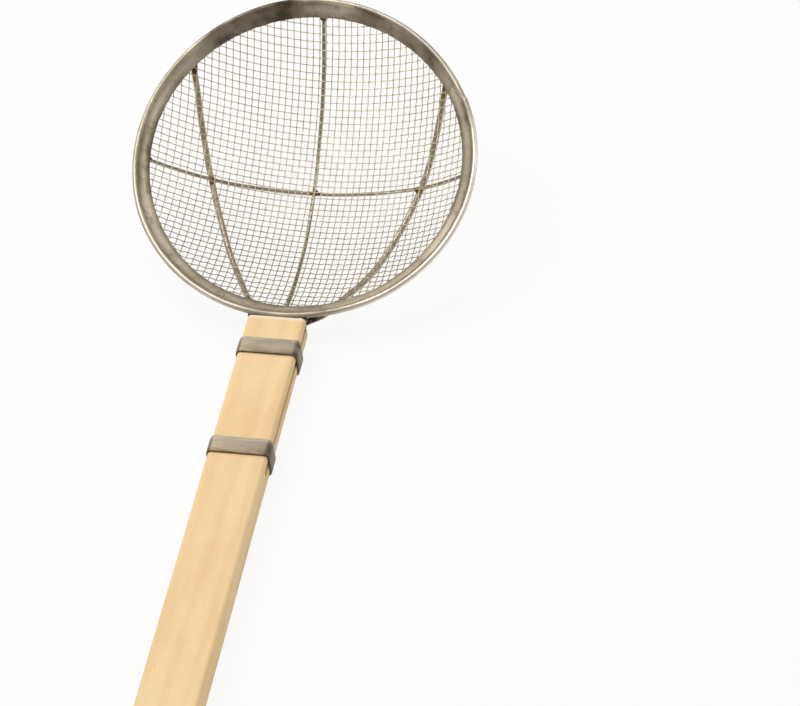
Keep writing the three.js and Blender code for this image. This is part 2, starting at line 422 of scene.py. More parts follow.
def round_corners(low: Vector, high: Vector, radius: float,
                  count: int) -> list[tuple[float, float, float]]:
    """The rounded corners of a box's outline in the XZ plane, from the lower right one on.

    Args:
        low: The box's lowest corner.
        high: Its highest corner.
        radius: Radius of the corners.
        count: Points round each corner.

    Returns:
        The middle of the bend, as X and Z, and the outward angle at each point.
    """
    left, right, bottom, top = low.x + radius, high.x - radius, low.z + radius, high.z - radius
    corners = ((right, bottom, -0.5), (right, top, 0.0), (left, top, 0.5), (left, bottom, 1.0))
    return [(x, z, math.pi * (turn + 0.5 * index / (count - 1)))
            for x, z, turn in corners for index in range(count)]


def keep(mesh: bpy.types.Mesh, name: str, values: Sequence[float]) -> None:
    """Keeps a number on each vertex of a mesh.

    Args:
        mesh: The mesh.
        name: The attribute's name.
        values: The numbers, in the order of its vertices.
    """
    mesh.attributes.new(name, "FLOAT", "POINT").data.foreach_set("value", values)


def to_mesh(name: str, shape: bmesh.types.BMesh) -> bpy.types.Mesh:
    """Turns an edited shape into a mesh and frees it.

    Args:
        name: The mesh's name.
        shape: The shape.

    Returns:
        The mesh.
    """
    mesh = bpy.data.meshes.new(name)
    shape.to_mesh(mesh)
    shape.free()
    return mesh


def block(middle: Vector, size: Vector) -> bmesh.types.BMesh:
    """A box to be edited.

    Args:
        middle: Its middle.
        size: Its size along each axis.

    Returns:
        The shape.
    """
    shape = bmesh.new()
    bmesh.ops.create_cube(shape, size=1.0)
    shape.transform(Matrix.Translation(middle) @ Matrix.Diagonal((*size, 1.0)))
    return shape


def blank_material(name: str) -> tuple[bpy.types.Material, NodeGraph]:
    """A material without nodes.

    Args:
        name: Its name.

    Returns:
        The material and the graph that its nodes go into.
    """
    material = bpy.data.materials.new(name)
    material.use_nodes = True
    material.node_tree.nodes.clear()
    return material, NodeGraph(material.node_tree)


def polyline(name: str, points: Sequence[Vector], girths: Sequence[float],
             closed: bool) -> bpy.types.Mesh:
    """A line of points for a wire to follow.

    Args:
        name: The mesh's name.
        points: The wire's middle line.
        girths: A factor on the wire's radius at each point.
        closed: Whether the last point joins the first.

    Returns:
        A mesh of edges with the factor as "girth".
    """
    edges = [(index, index + 1) for index in range(len(points) - 1)]
    if closed:
        edges.append((len(points) - 1, 0))
    mesh = bpy.data.meshes.new(name)
    mesh.from_pydata(points, edges, [])
    keep(mesh, "girth", girths)
    return mesh


def loft(name: str, rings: Sequence[Sequence[Vector]], hoop: bool = False) -> bpy.types.Mesh:
    """A closed skin over rings that have equally many points.

    Args:
        name: The mesh's name.
        rings: The rings in order.
        hoop: Whether the last ring joins the first. Otherwise both ends are capped.

    Returns:
        The mesh, with its faces outwards.
    """
    shape = bmesh.new()
    loops = [[shape.verts.new(point) for point in ring] for ring in rings]
    pairs = list(zip(loops, loops[1:]))
    if hoop:
        pairs.append((loops[-1], loops[0]))
    for here, there in pairs:
        for index in range(len(here)):
            after = (index + 1) % len(here)
            shape.faces.new((here[index], here[after], there[after], there[index]))
    if not hoop:
        shape.faces.new(loops[0])
        shape.faces.new(reversed(loops[-1]))
    bmesh.ops.recalc_face_normals(shape, faces=shape.faces)
    return to_mesh(name, shape)


def add_piece(mesh: bpy.types.Mesh, material: bpy.types.Material,
              sharp_angle: float) -> bpy.types.Object:
    """Puts a mesh into the scene as a piece of the same name.

    Args:
        mesh: Its mesh, in place.
        material: Its material.
        sharp_angle: Edges that turn more than this stay crisp.

    Returns:
        The piece.
    """
    mesh.materials.clear()
    mesh.materials.append(material)
    mesh.shade_smooth()
    mesh.set_sharp_from_angle(angle=sharp_angle)
    piece = bpy.data.objects.new(mesh.name, mesh)
    bpy.context.scene.collection.objects.link(piece)
    return piece


def mark(mesh: bpy.types.Mesh, name: str, spots: Sequence[tuple[Vector, float]]) -> None:
    """Keeps on each vertex how near it lies to the nearest spot.

    Args:
        mesh: The mesh to mark.
        name: The attribute's name.
        spots: Each spot's middle and its reach. The mark is 1 in the middle and 0 at the reach.
    """
    values = []
    for vertex in mesh.vertices:
        nearness = [1.0 - (vertex.co - middle).length / reach for middle, reach in spots]
        values.append(smoothstep(max(nearness)))
    keep(mesh, name, values)


def mark_rings(mesh: bpy.types.Mesh, **rings: Sequence[Sequence[float]]) -> None:
    """Keeps values on the points of a lofted mesh.

    Args:
        mesh: A mesh made by loft.
        **rings: For each attribute, a row of values for every ring.
    """
    for name, rows in rings.items():
        keep(mesh, name, [value for row in rows for value in row])


def fit(piece: bpy.types.Object, slot: str, *nodes: str) -> None:
    """Ties a finished piece to the frame and reports it.

    Args:
        piece: The piece.
        slot: The name of a material slot in the record. It is not used.
        *nodes: The CAD nodes that it stands for.
    """
    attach(piece, BODY)
    if nodes:
        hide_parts(*nodes)
    triangles = sum(len(face.vertices) - 2 for face in piece.data.polygons)
    log.info("%s: %d triangles, for %s", piece.name, triangles, ", ".join(nodes) or "detail")


class Coordinates(Enum):
    """What a finish's pattern follows."""

    OBJECT = "object"
    WIRE = "wire"


def steel_patina_group() -> GroupGraph:
    """The shader group that clouds, streaks and speckles bare steel.

    Returns:
        The group. It puts out a colour, a roughness and a height.
    """
    length, colour = SocketKind.LENGTH, SocketKind.COLOUR
    inputs = {"Vector": SocketKind.VECTOR, "Bright": colour, "Dull": colour, "Cloud Scale": length,
              "Speckle Scale": length, "Speckle": length, "Roughness": length,
              "Roughness Spread": length}
    outputs = {"Color": colour, "Roughness": length, "Height": length}
    graph = GroupGraph("steel_patina", "ShaderNodeTree", inputs, outputs)
    given = graph.given
    cloud = graph.noise(given["Vector"], given["Cloud Scale"], detail=4.0, roughness=0.6)
    speckle = graph.noise(given["Vector"], given["Speckle Scale"], roughness=0.7)
    clouded = graph.mix(graph.ramp(cloud, 0.32, 0.68), given["Bright"], given["Dull"])
    pits = graph.math("MULTIPLY", graph.ramp(speckle, 0.5, 0.72), given["Speckle"])
    uneven = graph.math("MULTIPLY", graph.math("SUBTRACT", cloud, 0.5), given["Roughness Spread"])
    rough = graph.math("ADD", given["Roughness"], uneven)
    graph.put(Color=graph.mix(pits, clouded, PIT_COLOUR),
              Roughness=graph.math("ADD", rough, graph.math("MULTIPLY", pits, 0.25)), Height=speckle)
    return graph


def edge_wear_group() -> GroupGraph:
    """The shader group that brightens steel where wear polishes it and where a highlight is painted, and
    darkens it where dirt stays and where shade is painted.

    Returns:
        The group. It puts out a colour and a roughness.
    """
    length, colour = SocketKind.LENGTH, SocketKind.COLOUR
    inputs = {"Color": colour, "Roughness": length, "Vector": SocketKind.VECTOR, "Wear And Highlight": length,
              "Grime And Shade": length, "Wear And Highlight Color": colour, "Grime And Shade Color": colour}
    outputs = {"Color": colour, "Roughness": length}
    graph = GroupGraph("edge_wear", "ShaderNodeTree", inputs, outputs)
    given = graph.given
    uneven = graph.noise(given["Vector"], scale=260.0, detail=4.0, roughness=0.65)
    worn = graph.math("MULTIPLY", given["Wear And Highlight"], graph.ramp(uneven, 0.2, 0.6, 0.45, 1.0))
    grime = graph.math("MULTIPLY", given["Grime And Shade"], graph.ramp(uneven, 0.25, 0.7, 1.0, 0.35))
    rub_and_highlight = graph.mix(worn, given["Color"], given["Wear And Highlight Color"])
    rough = graph.math("SUBTRACT", given["Roughness"], graph.math("MULTIPLY", worn, 0.14))
    graph.put(Color=graph.mix(grime, rub_and_highlight, given["Grime And Shade Color"]),
              Roughness=graph.math("ADD", rough, graph.math("MULTIPLY", grime, 0.25)))
    return graph


def heat_mark_group() -> GroupGraph:
    """The shader group that tints steel where a weld has heated it. Its darkest tint also stands for the
    shade on the ribs by the handle's front end and under the near roll: painted shade.

    Returns:
        The group. It puts out a colour.
    """
    inputs = {"Color": SocketKind.COLOUR, "Vector": SocketKind.VECTOR, "Heat": SocketKind.LENGTH}
    graph = GroupGraph("heat_mark", "ShaderNodeTree", inputs, {"Color": SocketKind.COLOUR})
    given = graph.given
    patchy = graph.noise(given["Vector"], scale=420.0, detail=3.0)
    heat = graph.math("MULTIPLY", given["Heat"], graph.ramp(patchy, 0.25, 0.75, 0.6, 1.25))
    colour = given["Color"]
    for low, high, tint in ((0.1, 0.4, STRAW_TINT), (0.35, 0.65, BROWN_TINT), (0.6, 0.95, BURNT_AND_SHADE_TINT)):
        colour = graph.mix(graph.ramp(heat, low, high), colour, tint)
    graph.put(Color=colour)
    return graph


def wood_grain_group() -> GroupGraph:
    """The shader group of a pale straight-grained wood, whose grain runs along Y.

    Returns:
        The group. It puts out a colour, a roughness and a height.
    """
    length, colour = SocketKind.LENGTH, SocketKind.COLOUR
    inputs = {"Vector": SocketKind.VECTOR, "Light": colour, "Dark": colour, "Fleck": colour,
              "Ring Scale": length}
    outputs = {"Color": colour, "Roughness": length, "Height": length}
    graph = GroupGraph("wood_grain", "ShaderNodeTree", inputs, outputs)
    given = graph.given

    def drawn_out(share: float) -> bpy.types.NodeSocket:
        """The place with its length along the grain cut to a share, which draws a pattern out."""
        return graph.vector("MULTIPLY", given["Vector"], (1.0, share, 1.0))

    cloud = graph.noise(drawn_out(0.45), scale=50.0, detail=3.0)
    feeds = {"Vector": drawn_out(0.06), "Scale": given["Ring Scale"], "Distortion": 5.0, "Detail": 3.0,
             "Detail Scale": 0.6, "Detail Roughness": 0.55}
    wave = graph.add("ShaderNodeTexWave", feeds, wave_type="RINGS", rings_direction="Y",
                     wave_profile="SIN").outputs["Fac"]
    fibre = graph.noise(drawn_out(0.035), scale=1500.0, detail=3.0, roughness=0.65)
    fleck = graph.noise(drawn_out(0.12), scale=900.0, detail=1.0)
    tone = graph.math("ADD", graph.math("MULTIPLY", wave, 0.2), graph.math("MULTIPLY", cloud, 0.8))
    ground = graph.mix(graph.ramp(tone, 0.2, 0.8), given["Light"], given["Dark"])
    streaked = graph.mix(graph.ramp(fibre, 0.52, 0.8, 0.0, 0.28), ground, given["Fleck"])
    flecked = graph.mix(graph.ramp(fleck, 0.66, 0.8, 0.0, 0.3), streaked, given["Fleck"])
    graph.put(Color=flecked, Roughness=graph.ramp(cloud, 0.2, 0.8, 0.5, 0.66),
              Height=graph.math("ADD", fibre, graph.math("MULTIPLY", wave, 0.4)))
    return graph


@dataclass(frozen=True)
class SteelFinish:
    """A bare steel finish.

    Attributes:
        name: The material's name.
        bright: Its clean colour.
        dull: Its clouded colour.
        roughness: Its middle roughness.
        spread: How far the roughness varies.
        cloud_scale: Clouds per metre.
        speckle_scale: Speckles per metre.
        speckle: How strong the speckles are.
        stretch: Factors on the pattern's coordinates.
        relief: Height of the surface's unevenness.
        coordinates: What the pattern follows.
        crossing: How much darker it is where wires cross: painted shade, with dirt.
        worn: Its colour where wear polishes it and where a highlight is painted.
        grime: Its colour where dirt stays and where shade is painted.
    """

    name: str
    bright: Colour
    dull: Colour
    roughness: float = 0.36
    spread: float = 0.2
    cloud_scale: float = 90.0
    speckle_scale: float = 1100.0
    speckle: float = 0.35
    stretch: tuple[float, float, float] = (1.0, 1.0, 1.0)
    relief: float = 0.06 * MM
    coordinates: Coordinates = Coordinates.OBJECT
    crossing: float = 0.0
    worn: Colour = (0.93, 0.88, 0.77, 1.0)
    grime: Colour = (0.09, 0.07, 0.045, 1.0)

    def material(self, patina: GroupGraph, wear: GroupGraph, heat: GroupGraph) -> bpy.types.Material:
        """Makes the material.

        Args:
            patina: The group that clouds and speckles steel.
            wear: The group that rubs and soils it.
            heat: The group that tints it at welds.

        Returns:
            The material.
        """
        material, graph = blank_material(self.name)
        place = graph.add("ShaderNodeTexCoord").outputs["Object"]
        if self.coordinates is Coordinates.WIRE:
            turn = graph.math("MULTIPLY", graph.attribute("around"), FULL_TURN)
            feeds = {"X": graph.attribute("along"),
                     "Y": graph.math("MULTIPLY", graph.math("COSINE", turn), MM),
                     "Z": graph.math("MULTIPLY", graph.math("SINE", turn), MM)}
            place = graph.add("ShaderNodeCombineXYZ", feeds).outputs[0]
        pattern = graph.add("ShaderNodeMapping", {"Vector": place, "Scale": self.stretch}).outputs[0]
        feeds = {"Vector": pattern, "Bright": self.bright, "Dull": self.dull,
                 "Cloud Scale": self.cloud_scale, "Speckle Scale": self.speckle_scale,
                 "Speckle": self.speckle, "Roughness": self.roughness, "Roughness Spread": self.spread}
        surface = graph.add("ShaderNodeGroup", feeds, node_tree=patina.tree).outputs
        colour = surface["Color"]
        # Painted shade, with dirt, where the cloth's wires cross.
        if self.crossing:
            dark = graph.ramp(graph.attribute("crossing"), 0.35, 1.0, 0.0, self.crossing)
            colour = graph.mix(dark, colour, CROSSING_SHADE_AND_GRIME_COLOUR)
        # Painted highlights and shade, with wear and dirt, from the marks that the points keep.
        feeds = {"Color": colour, "Roughness": surface["Roughness"], "Vector": pattern,
                 "Wear And Highlight": graph.attribute("worn"), "Grime And Shade": graph.attribute("grime"),
                 "Wear And Highlight Color": self.worn, "Grime And Shade Color": self.grime}
        rub_and_highlight = graph.add("ShaderNodeGroup", feeds, node_tree=wear.tree).outputs
        feeds = {"Color": rub_and_highlight["Color"], "Vector": pattern, "Heat": graph.attribute("scorch_and_shade")}
        tinted = graph.add("ShaderNodeGroup", feeds, node_tree=heat.tree).outputs
        bump = graph.add("ShaderNodeBump", {"Height": surface["Height"], "Distance": self.relief})
        feeds = {"Base Color": tinted["Color"], "Metallic": 1.0, "Roughness": rub_and_highlight["Roughness"],
                 "Normal": bump.outputs[0]}
        shader = graph.add("ShaderNodeBsdfPrincipled", feeds)
        graph.add("ShaderNodeOutputMaterial", {"Surface": shader.outputs[0]})
        return material


@dataclass(frozen=True)
class WoodFinish:
    """Bare sanded wood.

    Attributes:
        name: The material's name.
        light: The colour of its pale wood.
        dark: The colour of its darker grain.
        fleck: The colour of its fibres and flecks.
        rub_and_highlight: The colour of its front arris: a painted highlight, with paler sanded wood.
        ring_scale: Growth rings per metre, about.
        relief: Height of its grain.
        offset: Where in the log the stick was cut.
        slant: How far the grain runs off the stick's line.
    """

    name: str = "pale_sanded_wood"
    light: Colour = (0.96, 0.71, 0.38, 1.0)
    dark: Colour = (0.885, 0.605, 0.3, 1.0)
    fleck: Colour = (0.64, 0.4, 0.19, 1.0)
    rub_and_highlight: Colour = (1.0, 0.92, 0.8, 1.0)
    ring_scale: float = 70.0
    relief: float = 0.12 * MM
    offset: tuple[float, float, float] = (0.021, 0.0, 0.034)
    slant: float = math.radians(1.2)

    def material(self, grain: GroupGraph) -> bpy.types.Material:
        """Makes the material.

        Args:
            grain: The group of the wood's grain.

        Returns:
            The material.
        """
        material, graph = blank_material(self.name)
        place = graph.add("ShaderNodeTexCoord").outputs["Object"]
        feeds = {"Vector": place, "Location": self.offset, "Rotation": (0.0, 0.0, self.slant)}
        pattern = graph.add("ShaderNodeMapping", feeds).outputs[0]
        feeds = {"Vector": pattern, "Light": self.light, "Dark": self.dark, "Fleck": self.fleck,
                 "Ring Scale": self.ring_scale}
        surface = graph.add("ShaderNodeGroup", feeds, node_tree=grain.tree).outputs
        bump = graph.add("ShaderNodeBump", {"Height": surface["Height"], "Distance": self.relief})
        colour = graph.mix(graph.attribute("rub_and_highlight"), surface["Color"], self.rub_and_highlight)
        feeds = {"Base Color": colour, "Roughness": surface["Roughness"], "Normal": bump.outputs[0]}
        shader = graph.add("ShaderNodeBsdfPrincipled", feeds)
        graph.add("ShaderNodeOutputMaterial", {"Surface": shader.outputs[0]})
        return material


@dataclass
class Finishes:
    """The strainer's materials, made once and shared by its pieces."""

    wood: bpy.types.Material = field(init=False)
    strap: bpy.types.Material = field(init=False)
    plate: bpy.types.Material = field(init=False)
    rib: bpy.types.Material = field(init=False)
    wire: bpy.types.Material = field(init=False)
    rim: bpy.types.Material = field(init=False)
    cloth: bpy.types.Material = field(init=False)
    weld: bpy.types.Material = field(init=False)

    def __post_init__(self) -> None:
        """Makes the groups and the materials."""
        groups = steel_patina_group(), edge_wear_group(), heat_mark_group()

        def steel(*values: Any, **options: Any) -> bpy.types.Material:
            """A steel material of these values."""
            return SteelFinish(*values, **options).material(*groups)

        self.wood = WoodFinish().material(wood_grain_group())
        self.strap = steel(
            "satin_strap_steel", (0.37, 0.3, 0.205, 1.0), (0.24, 0.193, 0.13, 1.0), roughness=0.4,
            cloud_scale=70.0, stretch=(0.25, 1.0, 0.25))
        self.plate = steel("bright_plate_steel", (0.66, 0.62, 0.56, 1.0), (0.5, 0.46, 0.4, 1.0))
        self.rib = steel(
            "drawn_rib_steel", (0.54, 0.48, 0.385, 1.0), (0.35, 0.3, 0.23, 1.0), roughness=0.32,
            cloud_scale=120.0, coordinates=Coordinates.WIRE)
        self.wire = steel(
            "drawn_wire_steel", (0.46, 0.41, 0.33, 1.0), (0.29, 0.255, 0.2, 1.0),
            cloud_scale=160.0, coordinates=Coordinates.WIRE)
        self.rim = steel(
            "folded_rim_steel", (0.86, 0.765, 0.59, 1.0), (0.54, 0.468, 0.355, 1.0), roughness=0.4,
            cloud_scale=600.0, speckle_scale=3000.0, stretch=(0.06, 1.0, 1.0),
            coordinates=Coordinates.WIRE)
        self.cloth = steel(
            "woven_wire_steel", (0.9, 0.82, 0.635, 1.0), (0.71, 0.63, 0.46, 1.0), roughness=0.42,
            cloud_scale=45.0, speckle=0.1, crossing=0.16, grime=(0.26, 0.215, 0.135, 1.0))
        self.weld = steel(
            "welded_steel", (0.2, 0.16, 0.115, 1.0), (0.09, 0.07, 0.05, 1.0), roughness=0.45,
            cloud_scale=500.0, relief=0.2 * MM)


@dataclass(frozen=True)
class BowlForm:
    """The dish and its band, in the bowl's own frame.

    The origin is in the middle of the rim, +Z is the bowl's axis and +Y points away from the handle.

    Attributes:
        hoop_radius: Radius over the rolled edge.
        band_reach: How far the band reaches in from the hoop.
        band_drop: How far its inner edge lies below the rolled edge.
        depth: How far the middle of the dish lies below the rolled edge.
        bead_radius: Radius of the roll.
        band_half: Half the band's thickness over both leaves.
        lean: How far the bowl leans up from the handle's line.
        out_of_round: How far the hoop is drawn out along one diagonal and pressed in along the other.
    """

    hoop_radius: float = 100.0 * MM
    band_reach: float = 8.8 * MM
    band_drop: float = 5.2 * MM
    depth: float = 42.0 * MM
    bead_radius: float = 1.72 * MM
    band_half: float = 1.35 * MM
    lean: float = math.radians(22.5)
    out_of_round: float = -0.0095

    @property
    def mesh_radius(self) -> float:
        """Radius of the dish where the band starts."""
        return self.hoop_radius - self.band_reach

    @property
    def sphere_radius(self) -> float:
        """Radius of the sphere that the dish is part of."""
        sagitta = self.depth - self.band_drop
        return (self.mesh_radius ** 2 + sagitta ** 2) / (2.0 * sagitta)

    @property
    def sphere_height(self) -> float:
        """Height of that sphere's middle."""
        return self.sphere_radius - self.depth

    @property
    def foot(self) -> Vector:
        """The band's inner edge, as (radius, height)."""
        return Vector((self.mesh_radius, -self.band_drop))

    @property
    def bead(self) -> Vector:
        """The middle of the roll, as (radius, height)."""
        return Vector((self.hoop_radius - self.bead_radius, 0.0))

    @property
    def up_band(self) -> Vector:
        """The direction up the band, as (radius, height)."""
        return (self.bead - self.foot).normalized()

    @property
    def out_of_band(self) -> Vector:
        """The direction out of the band's lower face, as (radius, height)."""
        return Vector((self.up_band.y, -self.up_band.x))

    def matrix(self) -> Matrix:
        """Where the bowl's frame is in the CAD frame.

        Returns:
            The matrix that places it.
        """
        low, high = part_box("rim_wire")
        oval = Matrix.Identity(4)
        oval[0][1] = oval[1][0] = self.out_of_round
        return Matrix.Translation((low + high) / 2.0) @ Matrix.Rotation(self.lean, 4, "X") @ oval

    def under_mesh(self, x: float, y: float, depth: float) -> Vector:
        """A point below the dish.

        Args:
            x: Its place in plan, before it is pushed down.
            y: The same along the handle's direction.
            depth: How far below the dish, along the dish's normal.

        Returns:
            The point.
        """
        down = math.sqrt(self.sphere_radius ** 2 - x * x - y * y)
        stretch = (self.sphere_radius + depth) / self.sphere_radius
        return Vector((x * stretch, y * stretch, self.sphere_height - down * stretch))

    def under_band(self, azimuth: float, along: float, depth: float) -> Vector:
        """A point below the band.

        Args:
            azimuth: Its direction from the bowl's axis.
            along: How far up from the band's inner edge.
            depth: How far below the band's middle.

        Returns:
            The point.
        """
        radius, height = self.foot + self.up_band * along + self.out_of_band * depth
        return Vector((radius * math.cos(azimuth), radius * math.sin(azimuth), height))


@dataclass
class WireSweep:
    """Makes round wires along paths.

    Attributes:
        step: How far apart the points along a wire are.
        taper: How far a wire's cut end is rounded off.
        end_girth: The radius of a cut end against the wire's own.
        wobble: How far a wire strays from its true line.
        wobble_scale: How quickly it strays, in bumps per metre.
        held: How far from its ends it is held closer to that line.
        seed: Seed of where it strays to.
    """

    step: float = 1.6 * MM
    taper: float = 1.2 * MM
    end_girth: float = 0.55
    wobble: float = 0.25 * MM
    wobble_scale: float = 45.0
    held: float = 9.6 * MM
    seed: int = 7
    graph: BuildGraph = field(init=False)

    def __post_init__(self) -> None:
        """Builds the tree and seeds the noise."""
        noise.seed_set(self.seed)
        graph = BuildGraph("wire_sweep", ("Radius",), ("Sides",))
        given = graph.given
        curve = graph.add("GeometryNodeMeshToCurve", {"Mesh": given["Geometry"]}).outputs[0]
        length = graph.add("GeometryNodeSplineParameter").outputs["Length"]
        measured = graph.store(curve, "along", length)
        graph.finish(graph.tube(measured, given["Radius"], given["Sides"], graph.kept("girth")))
        self.graph = graph

    def wire(self, name: str, points: Sequence[Vector], radius: float, sides: int,
             material: bpy.types.Material, closed: bool = False) -> bpy.types.Object:
        """A wire along a path.

        Args:
            name: The piece's name.
            points: The path.
            radius: The wire's radius.
            sides: Faces around it.
            material: Its material.
            closed: Whether the wire is a hoop.

        Returns:
            The piece.
        """
        lengths = [0.0]
        for here, there in zip(points, points[1:]):
            lengths.append(lengths[-1] + (there - here).length)
        strayed, girths = [], []
        for point, length in zip(points, lengths):
            end = min(length, lengths[-1] - length)
            stray = noise.noise_vector(point * self.wobble_scale) * self.wobble
            strayed.append(point + stray * smoothstep(end / self.held))
            full = 1.0 if closed else math.sqrt(min(end / self.taper, 1.0))
            girths.append(self.end_girth + (1.0 - self.end_girth) * full)
        source = polyline(name, strayed, girths, closed)
        return self.graph.bake(name, source, material, {"Radius": radius, "Sides": sides})


@dataclass
class Handle:
    """The wooden stick, with a saw cut in its front end for the tang.

    Attributes:
        edge_radius: Radius along its long edges.
        end_rounding: Radius round its two ends.
        end_turns: Angles of the rings round each end, in degrees.
        corner_points: Points round each long edge.
        side_points: Spans along each face of a ring.
        station_step: How far apart its rings are.
        unevenness: How far its faces stray from true.
        stray_scale: How quickly they stray along each axis, in bumps per metre.
        sharp_angle: The angle from which an edge is shaded sharp.
        kerf_half: Half the height of the saw cut.
        kerf_past_tang: How far the cut runs past the tang.
        arris: How far the cut's crisp edges are eased.
        arris_angle: The angle from which an edge counts as crisp.
        pale_reach: How far the front end's pale edge, a painted highlight with paler sanded wood, reaches
            back.
    """

    finishes: Finishes
    edge_radius: float = 2.4 * MM
    end_rounding: float = 0.7 * MM
    end_turns: Sequence[float] = (0.0, 30.0, 60.0, 90.0)
    corner_points: int = 6
    side_points: int = 7
    station_step: float = 3.0 * MM
    unevenness: float = 0.16 * MM
    stray_scale: tuple[float, float, float] = (70.0, 14.0, 70.0)
    sharp_angle: float = math.radians(40.0)
    kerf_half: float = 2.1 * MM
    kerf_past_tang: float = 6.0 * MM
    arris: float = 0.22 * MM
    arris_angle: float = math.radians(50.0)
    pale_reach: float = 2.0 * MM

    def ring(self, low: Vector, high: Vector, y: float, inset: float) -> list[Vector]:
        """One ring round the stick.

        Args:
            low: The stick's lowest corner.
            high: Its highest corner.
            y: Where the ring is.
            inset: How far it is drawn in.

        Returns:
            The ring's points.
        """
        radius = self.edge_radius - inset
        outline = [Vector((x + radius * math.cos(angle), y, z + radius * math.sin(angle)))
                   for x, z, angle in round_corners(low, high, self.edge_radius, self.corner_points)]
        points: list[Vector] = []
        for index, point in enumerate(outline):
            points.append(point)
            after = outline[(index + 1) % len(outline)]
            if (after - point).length > 2.0 * self.edge_radius:
                points += [point.lerp(after, part / self.side_points)
                           for part in range(1, self.side_points)]
        middle = (low + high) / 2.0
        for point in points:
            outwards = Vector((point.x - middle.x, 0.0, point.z - middle.z)).normalized()
            stray = noise.noise(point * Vector(self.stray_scale))
            point += outwards * stray * self.unevenness
        return points

    def build(self) -> None:
        """Builds the stick, cuts it and ties it to the frame."""
        low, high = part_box("handle")
        radius = self.end_rounding
        ends = [(radius * (1.0 - math.cos(turn)), radius * (1.0 - math.sin(turn)))
                for turn in map(math.radians, self.end_turns)]
        count = round((high.y - low.y) / self.station_step)
        stations = [(low.y + along, inset) for along, inset in ends]
        stations += [(low.y + (high.y - low.y) * index / count, 0.0) for index in range(1, count)]
        stations += [(high.y - along, inset) for along, inset in reversed(ends)]
        mesh = loft("handle_stick", [self.ring(low, high, y, inset) for y, inset in stations])
        piece = add_piece(mesh, self.finishes.wood, self.sharp_angle)
        self.cut(piece, low, high)
        fit(piece, "handle_wood", "handle")

    def cut(self, piece: bpy.types.Object, low: Vector, high: Vector) -> None:
        """Saws the front end and eases the crisp edges.

        Args:
            piece: The stick.
            low: Its lowest corner.
            high: Its highest corner.
        """
        tang_low, tang_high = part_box("tang_plate")
        height = (tang_low.z + tang_high.z) / 2.0
        start, end = tang_low.y - self.kerf_past_tang, high.y + self.kerf_half
        size = Vector((2.0 * (high.x - low.x), end - start, 2.0 * self.kerf_half))
        blade = to_mesh("saw_cut", block(Vector((0.0, (start + end) / 2.0, height)), size))
        cutter = bpy.data.objects.new("saw_cut", blade)
        bpy.context.scene.collection.objects.link(cutter)
        kerf = piece.modifiers.new("kerf", "BOOLEAN")
        kerf.operation = "DIFFERENCE"
        kerf.solver = "EXACT"
        kerf.object = cutter
        eased = piece.modifiers.new("arris", "BEVEL")
        eased.width = self.arris
        eased.segments = 2
        eased.limit_method = "ANGLE"
        eased.angle_limit = self.arris_angle
        depsgraph = bpy.context.evaluated_depsgraph_get()
        sawn = bpy.data.meshes.new_from_object(piece.evaluated_get(depsgraph), depsgraph=depsgraph)
        piece.modifiers.clear()
        piece.data = sawn
        sawn.name = "handle_stick"
        behind = [high.y - vertex.co.y for vertex in sawn.vertices]
        # The front arris is paler: a painted highlight, with paler sanded wood.
        keep(sawn, "rub_and_highlight", [smoothstep(1.0 - along / self.pale_reach) for along in behind])
        sawn.set_sharp_from_angle(angle=self.sharp_angle)
        bpy.data.objects.remove(cutter)
        bpy.data.meshes.remove(blade)


